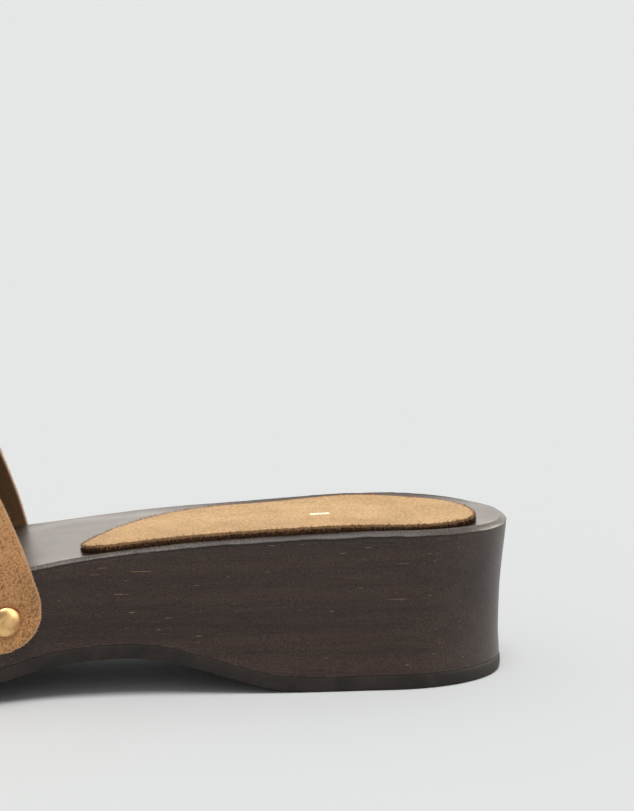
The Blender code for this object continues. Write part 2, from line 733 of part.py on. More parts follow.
def make_drill(places):
    """The pilot holes as one cutter, which runs from outside the suede to past each stud's point."""
    mesh = bmesh.new()
    depth = STUD_SHANK_LENGTH + DRILL_OVERRUN
    proud = STUD_HEAD_HEIGHT
    for position, outward in places:
        middle = position + outward * (proud - depth) / 2
        turn = outward.to_track_quat("Z", "Y").to_matrix().to_4x4()
        bmesh.ops.create_cone(
            mesh,
            cap_ends=True,
            segments=DRILL_SIDES,
            radius1=STUD_SHANK_RADIUS + DRILL_GAP,
            radius2=STUD_SHANK_RADIUS + DRILL_GAP,
            depth=depth + proud,
            matrix=Matrix.Translation(middle) @ turn,
        )
    drill = finished_object("stud_drill", mesh)
    drill.hide_render = True
    drill.display_type = "WIRE"
    return drill


def bore(made, drill):
    cut = made.modifiers.new("stud holes", "BOOLEAN")
    cut.operation = "DIFFERENCE"
    cut.solver = "EXACT"
    cut.object = drill


# ---- The whole clog ----
def centre_the_frame(frame):
    """Moves the frame so that the origin is under the middle of the clog, on the floor."""
    bpy.context.view_layer.update()
    graph = bpy.context.evaluated_depsgraph_get()
    places = []
    for made in frame.children:
        if made.hide_render:
            continue
        shape = made.evaluated_get(graph)
        places += [made.matrix_world @ vert.co for vert in shape.to_mesh().vertices]
        shape.to_mesh_clear()
    low, high = np.min(places, axis=0), np.max(places, axis=0)
    frame.location = (-(low[0] + high[0]) / 2, -(low[1] + high[1]) / 2, -low[2])


def main():
    for old in list(bpy.data.objects):
        bpy.data.objects.remove(old)
    frame = bpy.data.objects.new("clog_frame", None)
    bpy.context.scene.collection.objects.link(frame)

    sole = make_wooden_sole()
    make_outsole()
    make_sock_layer("heel_sock_base", "sock_board", FACE_GAP, SOCK_BASE_THICKNESS)
    cover_lift = FACE_GAP + SOCK_BASE_THICKNESS + FACE_GAP
    make_sock_layer("heel_sock_cover", "sock_suede", cover_lift, SOCK_COVER_THICKNESS)
    lining, suede = make_upper()

    places = stud_places()
    drill = make_drill(places)
    for made in (sole, lining, suede):
        bore(made, drill)
    make_studs(places)
    centre_the_frame(frame)


main()
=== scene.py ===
"""The looks of a closed-toe wooden clog: fine meshes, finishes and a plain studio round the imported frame.

Shapes are worked out in shoe stations: s is the distance from the back of the heel towards the toe, y runs
from the inner side of the foot to the outer side, and z is up from the floor. ClogForm.place turns them into
the frame's coordinates, where the toe points along -X. Lengths are in metres.
"""

import logging
import math
from collections.abc import Callable
from dataclasses import dataclass
from enum import Enum

import bpy
import numpy as np
from mathutils import Matrix, Vector, noise


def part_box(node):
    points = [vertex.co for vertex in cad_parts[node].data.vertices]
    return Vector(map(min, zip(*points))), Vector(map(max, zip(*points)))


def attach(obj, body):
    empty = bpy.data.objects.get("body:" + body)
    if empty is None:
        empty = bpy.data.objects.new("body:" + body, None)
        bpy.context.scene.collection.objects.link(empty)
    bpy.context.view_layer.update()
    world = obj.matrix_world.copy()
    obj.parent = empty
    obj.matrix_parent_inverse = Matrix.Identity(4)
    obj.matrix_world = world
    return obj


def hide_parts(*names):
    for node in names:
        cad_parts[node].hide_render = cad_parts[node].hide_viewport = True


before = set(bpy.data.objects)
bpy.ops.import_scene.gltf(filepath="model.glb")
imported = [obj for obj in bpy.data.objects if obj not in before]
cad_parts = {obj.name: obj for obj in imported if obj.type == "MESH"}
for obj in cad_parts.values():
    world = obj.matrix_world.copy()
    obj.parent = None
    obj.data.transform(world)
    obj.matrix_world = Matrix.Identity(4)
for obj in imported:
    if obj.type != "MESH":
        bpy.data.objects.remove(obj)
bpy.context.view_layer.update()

LOG = logging.getLogger("clog")
Colour = tuple[float, float, float]
Values = dict[str | int, object]
Surface = Callable[[np.ndarray, np.ndarray], np.ndarray]
Pairs = tuple[tuple[float, float], ...]
MM = 0.001


class Side(Enum):
    """The two sides of the foot, with the sign of y on each."""

    INNER = -1
    OUTER = 1


class Slot(Enum):
    """The record's material slots."""

    WOOD = "stained_wood"
    OUTSOLE = "outsole_rubber"
    BOARD = "sock_board"
    SOCK = "sock_suede"
    SUEDE = "upper_suede"
    LINING = "lining_leather"
    PUFF = "puff_board"
    BRASS = "stud_brass"


# ---- Curves and closed outlines ----
class Curve:
    """A curve through (place, value) knots that never overshoots them and stays flat between equals."""

    def __init__(self, *knots: tuple[float, float]) -> None:
        """Works out the slope at each knot.

        Args:
            *knots: (place, value) pairs in order of place.
        """
        self.x, self.v = np.array(knots, float).T
        rise = np.diff(self.v) / np.diff(self.x)
        slope = np.zeros_like(self.v)
        same = rise[:-1] * rise[1:] > 0
        slope[1:-1][same] = 2 * rise[:-1][same] * rise[1:][same] / (rise[:-1] + rise[1:])[same]
        slope[0], slope[-1] = rise[0], rise[-1]
        self.slope = slope

    def __call__(self, at: np.ndarray | float) -> np.ndarray:
        """Reads the curve.

        Args:
            at: Places along the curve, held inside its knots.

        Returns:
            The values there.
        """
        at = np.clip(np.asarray(at, float), self.x[0], self.x[-1])
        i = np.clip(np.searchsorted(self.x, at, side="right") - 1, 0, len(self.x) - 2)
        width = self.x[i + 1] - self.x[i]
        t = (at - self.x[i]) / width
        ends = self.v[i] * (1 + 2 * t) * (1 - t) ** 2 + self.v[i + 1] * t * t * (3 - 2 * t)
        return ends + width * (self.slope[i] * t * (1 - t) ** 2 - self.slope[i + 1] * t * t * (1 - t))


def smoothstep(start: float, end: float, at: np.ndarray | float) -> np.ndarray:
    """Goes smoothly from 0 at start to 1 at end.

    Args:
        start: Where the step starts.
        end: Where it is complete.
        at: Places to read.

    Returns:
        The step's value at each place.
    """
    t = np.clip((np.asarray(at, float) - start) / (end - start), 0, 1)
    return t * t * (3 - 2 * t)


def rounded_end(share: np.ndarray | float, fullness: float = 2.0) -> np.ndarray:
    """Falls from 1 to 0 as share goes from 0 to 1, like a superellipse's end.

    Args:
        share: How far into the end each place is.
        fullness: The superellipse's power.

    Returns:
        The share of the full width there.
    """
    return (1 - np.clip(share, 0, 1) ** fullness) ** (1 / fullness)


def along_line(points: np.ndarray, shares: np.ndarray) -> np.ndarray:
    """Finds points along a polyline.

    Args:
        points: The polyline.
        shares: Shares of its length.

    Returns:
        One point for each share.
    """
    step = np.linalg.norm(np.diff(points, axis=0), axis=1)
    run = np.concatenate([[0], np.cumsum(step)]) / step.sum()
    return np.stack([np.interp(shares, run, points[:, k]) for k in range(points.shape[1])], 1)


def plan_normals(loop: np.ndarray) -> np.ndarray:
    """Finds the outward directions of a closed plan loop.

    Args:
        loop: (s, y) points round the outline, inner side first towards the toe.

    Returns:
        One unit (s, y) direction for each point.
    """
    along = np.roll(loop, -1, axis=0) - np.roll(loop, 1, axis=0)
    normals = np.stack([along[:, 1], -along[:, 0]], 1)
    return normals / np.maximum(np.linalg.norm(normals, axis=1), 1e-12)[:, None]


def ripple(points: np.ndarray, size: float, seed: float = 0.0) -> np.ndarray:
    """Gives smooth repeatable noise, for shapes that a hand has cut or pulled.

    Args:
        points: Places in space.
        size: Distance over which the noise changes.
        seed: Picks another pattern.

    Returns:
        A value from about -1 to 1 at each place.
    """
    shift = Vector((seed * 7.3, seed * 3.1, seed * 5.7))
    return np.array([noise.noise(Vector(p) / size + shift) for p in points])


@dataclass(frozen=True)
class LoopPlan:
    """How a closed outline is shared out between two long sides and two ends.

    Attributes:
        sides: Steps along each side.
        ends: Steps across each end.
        corners: Where the sides and ends meet, as shares of the way round.
    """

    sides: int
    ends: int
    corners: tuple[float, float, float, float]

    def sample(self, ring: np.ndarray) -> np.ndarray:
        """Places evenly spaced points between the corners of a closed polyline."""
        a, b, c, d = self.corners
        spans = ((a, b, self.sides), (b, c, self.ends), (c, d, self.sides), (d, 1 + a, self.ends))
        shares = np.concatenate([np.linspace(lo, hi, n, endpoint=False) for lo, hi, n in spans])
        return along_line(ring, shares % 1)

    def grid(self, loop: np.ndarray) -> np.ndarray:
        """Fills a loop with a grid of points.

        Args:
            loop: Points as sample gives them.

        Returns:
            An array of sides + 1 by ends + 1 points.
        """
        m, n = self.sides, self.ends
        near, toe = loop[: m + 1], loop[m : m + n + 1]
        far = loop[m + n : 2 * m + n + 1][::-1]
        heel = np.concatenate([loop[2 * m + n :], loop[:1]])[::-1]
        u = np.linspace(0, 1, m + 1)[:, None, None]
        v = np.linspace(0, 1, n + 1)[None, :, None]
        along = near[:, None] * (1 - v) + far[:, None] * v
        across = heel[None] * (1 - u) + toe[None] * u
        corners = (near[0] * (1 - v) + far[0] * v) * (1 - u) + (near[-1] * (1 - v) + far[-1] * v) * u
        return along + across - corners

    def border(self, start: int) -> np.ndarray:
        """Numbers the grid's places, with those on the ring counted from start and -1 inside."""
        m, n = self.sides, self.ends
        total = 2 * (m + n)
        ids = np.full((m + 1, n + 1), -1)
        ids[:, 0] = start + np.arange(m + 1)
        ids[m, :] = start + m + np.arange(n + 1)
        ids[:, n] = start + (2 * m + n - np.arange(m + 1)) % total
        ids[0, :] = start + (total - np.arange(n + 1)) % total
        return ids


def lofted(
    name: str, form: "ClogForm", plan: LoopPlan, rings: list[np.ndarray], top: Surface, foot: Surface,
    **attributes: list[np.ndarray],
) -> bpy.types.Object:
    """Makes a closed block of stacked rings with a filled face at each end.

    Args:
        name: The object's name.
        form: Places the points in the frame.
        plan: How the outline is shared out.
        rings: (s, y, z) rings from the top one down.
        top: Gives the top face's height at s and y.
        foot: Gives the bottom face's height at s and y.
        **attributes: A list of values for each ring, by attribute name. Inside the end faces they are 0.

    Returns:
        The object, linked to the scene.
    """
    count = len(rings[0])
    here = np.arange(count)
    following = (here + 1) % count
    points, faces = [*rings], []
    for start in range(0, (len(rings) - 1) * count, count):
        a, b = start + here, start + following
        faces.append(np.stack([a, a + count, b + count, b], 1))
    for number, height, turn in ((0, top, 1), (len(rings) - 1, foot, -1)):
        grid, ids = plan.grid(rings[number]), plan.border(number * count)
        inside = ids < 0
        inner = grid[inside]
        inner[:, 2] = height(inner[:, 0], inner[:, 1])
        ids[inside] = sum(map(len, points)) + np.arange(len(inner))
        points.append(inner)
        corners = (ids[:-1, :-1], ids[1:, :-1], ids[1:, 1:], ids[:-1, 1:])
        faces.append(np.stack([x.ravel() for x in corners[::turn]], 1))
    flat = np.zeros(sum(map(len, points[-2:])))
    values = {key: np.concatenate([*value, flat]) for key, value in attributes.items()}
    return mesh_object(name, form.place(np.concatenate(points)), np.concatenate(faces).tolist(), **values)


def mesh_object(
    name: str, points: np.ndarray, faces: list, crease: float = 40.0, **attributes: np.ndarray
) -> bpy.types.Object:
    """Makes a smooth-shaded object whose faces point outwards.

    Args:
        name: The object's name.
        points: Points in the frame.
        faces: Faces as point numbers.
        crease: Angle in degrees over which an edge is shaded sharp.
        **attributes: A value for each point, by attribute name.

    Returns:
        The object, linked to the scene.
    """
    mesh = bpy.data.meshes.new(name)
    mesh.from_pydata([tuple(p) for p in points], [], faces)
    corners = np.array([v.co for v in mesh.vertices])
    volume = sum(
        float(np.dot(corners[p.vertices[0]], np.cross(corners[p.vertices[k]], corners[p.vertices[k + 1]])))
        for p in mesh.polygons
        for k in range(1, len(p.vertices) - 1)
    )
    if volume < 0:
        mesh.flip_normals()
    for key, values in attributes.items():
        mesh.attributes.new(key, "FLOAT", "POINT").data.foreach_set("value", np.asarray(values, np.float32))
    mesh.shade_smooth()
    mesh.set_sharp_from_angle(angle=math.radians(crease))
    return linked(name, mesh)


def linked(name: str, data: bpy.types.ID) -> bpy.types.Object:
    """Puts a mesh, lamp or camera in the scene as an object."""
    made = bpy.data.objects.new(name, data)
    bpy.context.scene.collection.objects.link(made)
    return made


def finish_piece(
    piece: bpy.types.Object, slot: Slot, material: bpy.types.Material | None, *nodes: str
) -> None:
    """Dresses a piece, hangs it on the root body and hides the CAD nodes that it stands for.

    Args:
        piece: The finished object.
        slot: The record's slot that it takes its finish from; not used.
        material: Its material, or None where the mesh already has one.
        *nodes: CAD nodes that it stands for.
    """
    if material:
        piece.data.materials.clear()
        piece.data.materials.append(material)
    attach(piece, "root")
    if nodes:
        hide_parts(*nodes)
    LOG.info("%s: %d faces", piece.name, len(piece.data.polygons))


# ---- The form that every piece is cut to ----
@dataclass
class ClogForm:
    """The clog's shape: outline, profiles and the surface that the upper is lasted to.

    Its fields are the sole's and the upper's driving sizes. Those that need a word:

    Attributes:
        arch_rise: How far the waist's underside stands off the floor.
        heel_share: Share of the length that the heel's round end takes.
        toe_share: Where the toe's round end starts, as a share of the length.
        dish_power: How square the heel cup and the ball's hollow are across.
        outer_drop: How much lower the outer edge of the top is than the inner one.
        drop_span: Stations between which that drop grows.
        drop_start: Where it starts across, as a share of the half width.
        bare_wood: Wood left showing between outsole and upper.
        stand_off: Gap between the wood and the upper.
        outer_forward: How much less the upper's rear edge is set back on the outer side.
    """

    length: float = 252 * MM
    heel_width: float = 62 * MM
    ball_width: float = 90 * MM
    heel_height: float = 48.1 * MM
    platform_height: float = 33.6 * MM
    arch_rise: float = 11.7 * MM
    toe_spring: float = 8.5 * MM
    toe_to_inside: float = 6 * MM
    waist_to_outside: float = 1.5 * MM
    outsole_thickness: float = 4.6 * MM
    rim_chamfer: float = 1.1 * MM
    side_hollow: float = 2.3 * MM
    foot_flare: float = 0.4 * MM
    heel_share: float = 0.15
    toe_share: float = 0.755
    heel_cup: float = 2.4 * MM
    ball_hollow: float = 2.0 * MM
    dish_power: int = 8
    outer_drop: float = 1.0 * MM
    drop_span: tuple[float, float] = (35 * MM, 90 * MM)
    drop_start: float = 0.55
    upper_rear: float = 143.5 * MM
    upper_corner: float = 9.0 * MM
    upper_edge_at_rear: float = 18.4 * MM
    bare_wood: float = 8.0 * MM
    throat_height: float = 60 * MM
    toe_box_height: float = 26 * MM
    upper_fullness: float = 2.3
    stand_off: float = 0.25 * MM
    peak_to_inside: float = 0.08
    outer_forward: float = 0.15

    def __post_init__(self) -> None:
        """Draws the profile curves and the rim's two sides, and finds the frame's offset."""
        self.rim_curve = Curve(
            (0.00, 0.90), (0.08, 0.98), (0.18, 1.00), (0.28, 0.95), (0.38, 0.85), (0.48, 0.68),
            (0.58, 0.45), (0.66, 0.24), (0.74, 0.06), (0.82, 0.00), (0.90, 0.06), (1.00, 0.24),
        )
        self.arch_curve = Curve(
            (0.000, 0.00), (0.235, 0.00), (0.285, 0.06), (0.33, 0.29), (0.38, 0.63), (0.43, 0.92),
            (0.475, 1.00), (0.51, 0.97), (0.547, 0.89), (0.62, 0.55), (0.68, 0.22), (0.72, 0.04),
            (0.75, 0.00),
        )
        self.width_curve = Curve(
            (0.00, 0.00), (0.45, 0.00), (0.53, 0.05), (0.60, 0.26), (0.66, 0.56), (0.72, 0.86),
            (0.765, 1.00), (1.00, 1.00),
        )
        self.centre_curve = Curve((0.0, 0.0), (0.30, 0.4), (0.47, 1.0), (0.60, 0.8), (0.72, 0.0), (1.0, 0.0))
        self.toe_shift_curve = Curve((0.0, 0.0), (0.66, 0.0), (0.85, 0.5), (1.0, 1.0))
        self.heel_cup_curve = Curve(
            (0.01, 0.0), (0.05, 0.55), (0.12, 0.95), (0.26, 1.0), (0.44, 0.25), (0.52, 0.0)
        )
        self.ball_hollow_curve = Curve((0.52, 0.0), (0.72, 1.0), (0.80, 1.0), (0.96, 0.0))
        self.side_curve = Curve(
            (0.0, 1.0), (0.12, 1.0), (0.28, 0.97), (0.50, 0.85), (0.72, 0.52), (0.88, 0.20), (1.0, 0.0)
        )
        self.rear_curve = Curve(
            (0.009, 0.0), (0.0115, 0.0001), (0.0145, 0.0006), (0.0197, 0.0023), (0.0274, 0.0047),
            (0.0313, 0.0060), (0.035, 0.0074), (0.0446, 0.0112), (0.062, 0.0185), (0.084, 0.0290),
        )
        self.rise_curve = Curve(
            (0.56, 1.15), (0.62, 1.08), (0.68, 0.95), (0.74, 0.72), (0.80, 0.46), (0.85, 0.24), (1.0, -0.3)
        )
        self.outline = {side: self.outline_side(side) for side in Side}
        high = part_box("wooden_sole")[1]
        self.heel_x = high.x
        self.shift_y = high.y - float(self.outline[Side.OUTER][0][:, 1].max())

    def place(self, points: np.ndarray) -> np.ndarray:
        """Turns (s, y, z) points into the frame's coordinates."""
        return np.stack([self.heel_x - points[:, 0], points[:, 1] + self.shift_y, points[:, 2]], 1)

    def rim(self, s: np.ndarray) -> np.ndarray:
        """Height of the rim's outer edge."""
        rise = self.heel_height - self.platform_height
        return self.platform_height + rise * self.rim_curve(s / self.length)

    def underside(self, s: np.ndarray) -> np.ndarray:
        """Height of the outsole's underside."""
        share = np.clip(np.asarray(s, float) / self.length, 0, 1)
        spring = np.clip((share - 0.85) / 0.15, 0, 1) ** 2
        return self.arch_rise * self.arch_curve(share) + self.toe_spring * spring

    def foot(self, s: np.ndarray) -> np.ndarray:
        """Height of the wooden wall's foot, on the outsole."""
        return self.underside(s) + self.outsole_thickness

    def centre(self, s: np.ndarray) -> np.ndarray:
        """The sole's centre line."""
        share = s / self.length
        waist = self.waist_to_outside * self.centre_curve(share)
        return waist - self.toe_to_inside * self.toe_shift_curve(share)

    def half_width(self, s: np.ndarray) -> np.ndarray:
        """Half the rim's width, 0 at both ends."""
        share = s / self.length
        heel = rounded_end((self.heel_share - share) / self.heel_share)
        toe = rounded_end((share - self.toe_share) / (1 - self.toe_share), 2.25)
        full = self.heel_width + (self.ball_width - self.heel_width) * self.width_curve(share)
        return full / 2 * heel * toe

    def outline_side(self, side: Side, samples: int = 2400) -> tuple[np.ndarray, np.ndarray]:
        """Draws the rim's outline on one side.

        Args:
            side: Which side of the foot.
            samples: How many points.

        Returns:
            The (s, y) points from heel to toe, and their outward directions.
        """
        s = self.length * (1 - np.cos(np.linspace(0, math.pi, samples))) / 2
        points = np.stack([s, self.centre(s) + side.value * self.half_width(s)], 1)
        along = np.gradient(points, axis=0)
        along[0], along[-1] = (0, side.value), (0, -side.value)
        normals = np.stack([-along[:, 1], along[:, 0]], 1) * side.value
        return points, normals / np.linalg.norm(normals, axis=1)[:, None]

    def inset(self, wall_share: np.ndarray) -> np.ndarray:
        """How far the side wall stands in from the rim, by the share of its height from the foot."""
        flare = self.foot_flare * (1 - smoothstep(0, 0.22, wall_share))
        return self.side_hollow * self.side_curve(wall_share) - flare

    def rim_ring(self) -> np.ndarray:
        """The whole rim as a closed polyline."""
        inner, outer = self.outline[Side.INNER][0], self.outline[Side.OUTER][0]
        return np.concatenate([inner, outer[-2:0:-1], inner[:1]])

    def footbed(self, s: np.ndarray, y: np.ndarray) -> np.ndarray:
        """Height of the wood's top face, with its heel cup and the hollow under the ball."""
        share = s / self.length
        depth = self.heel_cup * self.heel_cup_curve(share) + self.ball_hollow * self.ball_hollow_curve(share)
        half = np.maximum(self.half_width(s) - self.rim_chamfer, self.rim_chamfer)
        across = np.clip((y - self.centre(s)) / half, -1, 1)
        drop = self.outer_drop * smoothstep(*self.drop_span, s) * smoothstep(self.drop_start, 1.0, across)
        return self.rim(s) + self.rim_chamfer - drop - depth * (1 - across**self.dish_power)

    def wall_share(self, s: np.ndarray, height: np.ndarray) -> np.ndarray:
        """How far up the wooden wall a height is, from 0 at its foot to 1 at the rim."""
        return (height - self.foot(s)) / (self.rim(s) - self.foot(s))

    def upper_edge(self, s: np.ndarray) -> np.ndarray:
        """Height of the upper's lower edge."""
        low = self.foot(s) + self.bare_wood
        low_at_rear = self.foot(self.upper_rear) + self.bare_wood
        fade = 1 - smoothstep(self.upper_rear, self.length * self.toe_share, s)
        return low + (self.upper_edge_at_rear - low_at_rear) * fade

    def ridge_station(self, s: np.ndarray) -> np.ndarray:
        """The ridge's station over a rim point. The lines fan out from it round the toe."""
        fan, end = self.length * 0.71, self.length * 0.85
        power = (self.length - fan) / (end - fan)
        share = np.clip((s - fan) / (self.length - fan), 0, 1)
        return np.where(s < fan, s, fan + (end - fan) * (1 - (1 - share) ** power))

    def ridge_height(self, s: np.ndarray) -> np.ndarray:
        """Height of the upper's ridge."""
        spread = self.throat_height - self.toe_box_height
        return self.rim(s) + self.toe_box_height + spread * self.rise_curve(s / self.length)

    def upper_points(self, side: Side, s: np.ndarray, skirt: float, angle: float) -> np.ndarray:
        """Points of the surface that the upper is lasted to.

        Args:
            side: Which side of the foot.
            s: Stations of the rim points.
            skirt: Share of the way from the lower edge to the rim.
            angle: 0 at the rim and a right angle at the ridge, which counts where skirt is 1.

        Returns:
            One (s, y, z) point for each station.
        """
        points, normals = self.outline[side]
        low = self.upper_edge(s)
        height = low + (self.rim(s) - low) * skirt
        offset = self.stand_off - self.inset(self.wall_share(s, height))
        wall_s, wall_y = (
            np.interp(s, points[:, 0], points[:, k]) + np.interp(s, points[:, 0], normals[:, k]) * offset
            for k in (0, 1)
        )
        ridge_s = self.ridge_station(s)
        ridge_y = self.centre(ridge_s) - self.peak_to_inside * self.half_width(ridge_s)
        reach = max(math.cos(angle), 0.0) ** (2 / self.upper_fullness)
        lift = math.sin(angle) ** (2 / self.upper_fullness)
        run = wall_s - ridge_s
        slope = (self.ridge_height(ridge_s + MM) - self.ridge_height(ridge_s - MM)) / (2 * MM)
        top = height + (self.ridge_height(ridge_s) - height) * lift + slope * run * reach * (1 - reach)
        return np.stack([ridge_s + run * reach, ridge_y + (wall_y - ridge_y) * reach, top], 1)

    def rear_station(self, side: Side, skirt: float, angle: float) -> float:
        """Where the upper's rear edge stands on one side at one level, with its round lower corner."""
        middle = np.array([self.upper_rear])
        level = self.upper_points(Side.INNER, middle, skirt, angle)[0, 2]
        height = float(level - self.upper_edge(middle)[0])
        into = max(self.upper_corner - height, 0.0)
        corner = self.upper_corner - math.sqrt(self.upper_corner**2 - into**2)
        ease = 1 - (self.outer_forward * math.cos(angle) if side is Side.OUTER else 0.0)
        return self.upper_rear + corner + ease * float(self.rear_curve(height))


# ---- Wooden sole ----
@dataclass
class WoodenSole:
    """The carved and stained sole.

    Attributes:
        form: The clog's shape.
        plan: How the outline is shared out.
        levels: Rings down the side wall.
        bevel_rings: Rings round the worn upper edge.
        bevel_width: Width of the hand-sanded edge in front of the heel.
        heel_extra: How much wider it is round the heel.
        heel_fade: Stations between which that extra width ends.
        bevel_drop: Height of the sanded edge, as a share of its width.
        bevel_power: 1 for a round edge, 2 for a flat chamfer.
        bevel_waver: How much the hand-cut edge varies, as a share of its width.
        rubbing_and_highlight_span: Stations between which the edge's lighter colour, part rubbing and part
            painted highlight, grows from heel_rubbing_and_highlight to full.
        heel_rubbing_and_highlight: Share of that lighter colour that the heel's edge has.
        crease: Depth of the fine crease under the sanded edge.
        crease_rings: (distance under the edge, share of the crease's depth, edge value) of each ring there.
            An edge value below 0 darkens the wood as painted shade in the crease; one above 0 lightens it.
        foot_round: Small rounding where the wall meets the outsole.
        foot_line: Height of the lighter band over the wall's foot.
    """

    form: ClogForm
    plan: LoopPlan = LoopPlan(190, 40, (0.045, 0.430, 0.570, 0.955))
    levels: int = 30
    bevel_rings: int = 7
    bevel_width: float = 1.15 * MM
    heel_extra: float = 0.55 * MM
    heel_fade: tuple[float, float] = (55 * MM, 150 * MM)
    bevel_drop: float = 0.85
    bevel_power: float = 1.7
    bevel_waver: float = 0.13
    rubbing_and_highlight_span: tuple[float, float] = (60 * MM, 125 * MM)
    heel_rubbing_and_highlight: float = 0.30
    crease: float = 0.09 * MM
    crease_rings: tuple[tuple[float, float, float], ...] = (
        (0.10 * MM, 1.0, -0.8), (0.35 * MM, 0.7, -0.5), (0.9 * MM, 0.0, 0.15)
    )
    foot_round: float = 0.12 * MM
    foot_line: float = 0.3 * MM

    def build(self, material: bpy.types.Material) -> None:
        """Makes the sole.

        Args:
            material: The stained wood.
        """
        form = self.form
        rim = self.plan.sample(form.rim_ring())
        normals, s, same = plan_normals(rim), rim[:, 0], np.ones(len(rim))

        def ring(inward: np.ndarray, height: np.ndarray) -> np.ndarray:
            return np.column_stack([rim - normals * inward[:, None], height])

        def wall_ring(height: np.ndarray, deeper: float = 0.0) -> np.ndarray:
            return ring(form.inset(np.minimum(form.wall_share(s, height), 1)) + deeper, height)

        cloud = np.column_stack([rim, form.rim(s)])
        waver = ripple(cloud, 9 * MM, 1) + 0.6 * ripple(cloud, 2.6 * MM, 2)
        width = self.bevel_width + self.heel_extra * (1 - smoothstep(*self.heel_fade, s))
        width = width * (1 + self.bevel_waver * waver)
        # The sanded rim edge is painted lighter: partly rubbed wood, partly a painted highlight on the
        # chamfer, with less of it round the heel.
        edge_wear = self.heel_rubbing_and_highlight + (1 - self.heel_rubbing_and_highlight) * smoothstep(*self.rubbing_and_highlight_span, s)
        edge_wear = np.clip(0.75 + 0.9 * waver, 0.2, 1.0) * edge_wear
        inner_edge = rim - normals * width[:, None]
        top_z = form.footbed(inner_edge[:, 0], inner_edge[:, 1])
        low_z = top_z - self.bevel_drop * width
        support = inner_edge - normals * 0.3 * MM
        rings = [np.column_stack([support, form.footbed(support[:, 0], support[:, 1])])]
        wear = [0.12 * same]
        for turn in np.linspace(0, math.pi / 2, self.bevel_rings):
            inward = width * (1 - math.sin(turn) ** self.bevel_power)
            rings.append(ring(inward, low_z + (top_z - low_z) * math.cos(turn) ** self.bevel_power))
            wear.append(edge_wear)
        # Values below 0 on these rings darken the wood: painted shade in the crease under the sanded edge.
        for under, depth, rubbed_and_painted_light in self.crease_rings:
            rings.append(wall_ring(low_z - under, depth * self.crease))
            wear.append(rubbed_and_painted_light * same)
        foot, wall_top = form.foot(s), low_z - self.crease_rings[-1][0]
        for share in np.linspace(1, 0, self.levels)[1:]:
            rings.append(wall_ring(foot + (wall_top - foot) * share))
            wear.append(0.3 * math.exp(-share / 0.02) * same)
        lowest = rings.pop()
        rounded = lowest + (0, 0, self.foot_round)
        tucked = lowest - np.column_stack([normals * self.foot_round, 0 * same])
        rings += [rounded + (0, 0, self.foot_line), rounded, tucked]
        wear[-1:] = [0 * same, np.clip(0.45 + 0.6 * waver, 0, 0.8), 0 * same]
        piece = lofted(
            "carved_sole", form, self.plan, rings, form.footbed, lambda s, y: form.foot(s), edge_wear=wear
        )
        finish_piece(piece, Slot.WOOD, material, "wooden_sole")


@dataclass
class Outsole:
    """The moulded rubber outsole, glued under the wood from heel to toe.

    Attributes:
        form: The clog's shape.
        plan: How the outline is shared out.
        edge: The edge's section from the top: (distance past the wood's foot, share of the thickness left).
        groove_pitch: Distance between the tread's grooves.
        groove_depth: Depth of a groove.
        margin: Plain rubber left round each patch of tread.
        patches: First and last station of each patch of tread.
        glue_line: Gap between the rubber and the wood.
    """

    form: ClogForm
    plan: LoopPlan = LoopPlan(560, 30, (0.045, 0.430, 0.570, 0.955))
    edge: Pairs = (
        (-0.10 * MM, 1.0), (0.06 * MM, 0.985), (0.18 * MM, 0.93), (0.30 * MM, 0.78), (0.36 * MM, 0.55),
        (0.34 * MM, 0.32), (0.20 * MM, 0.14), (-0.10 * MM, 0.035), (-0.60 * MM, 0.0),
    )
    groove_pitch: float = 5.2 * MM
    groove_depth: float = 0.9 * MM
    margin: float = 5.5 * MM
    patches: Pairs = ((7 * MM, 60 * MM), (170 * MM, 236 * MM))
    glue_line: float = 0.03 * MM

    def tread(self, s: np.ndarray, y: np.ndarray) -> np.ndarray:
        """Depth of the tread at plan places."""
        wave = np.cos(2 * math.pi * s / self.groove_pitch)
        cut = smoothstep(0.25, 0.62, wave)
        room = self.form.half_width(s) - np.abs(y - self.form.centre(s)) - self.form.side_hollow
        inside = smoothstep(self.margin - 0.6 * MM, self.margin + 0.6 * MM, room)
        patch = sum(smoothstep(a, a + MM, s) * (1 - smoothstep(b - MM, b, s)) for a, b in self.patches)
        return self.groove_depth * cut * inside * patch

    def build(self, material: bpy.types.Material) -> None:
        """Makes the outsole.

        Args:
            material: The rubber.
        """
        form = self.form
        rim = self.plan.sample(form.rim_ring())
        normals, low = plan_normals(rim), form.underside(rim[:, 0])
        foot_inset = float(form.inset(np.array([0.0]))[0])
        thickness = form.outsole_thickness - self.glue_line
        rings = [
            np.column_stack([rim + normals * (proud - foot_inset), low + thickness * share])
            for proud, share in self.edge
        ]
        piece = lofted(
            "moulded_outsole", form, self.plan, rings,
            lambda s, y: form.foot(s) - self.glue_line, lambda s, y: form.underside(s) + self.tread(s, y),
        )
        finish_piece(piece, Slot.OUTSOLE, material, "rubber_outsole")


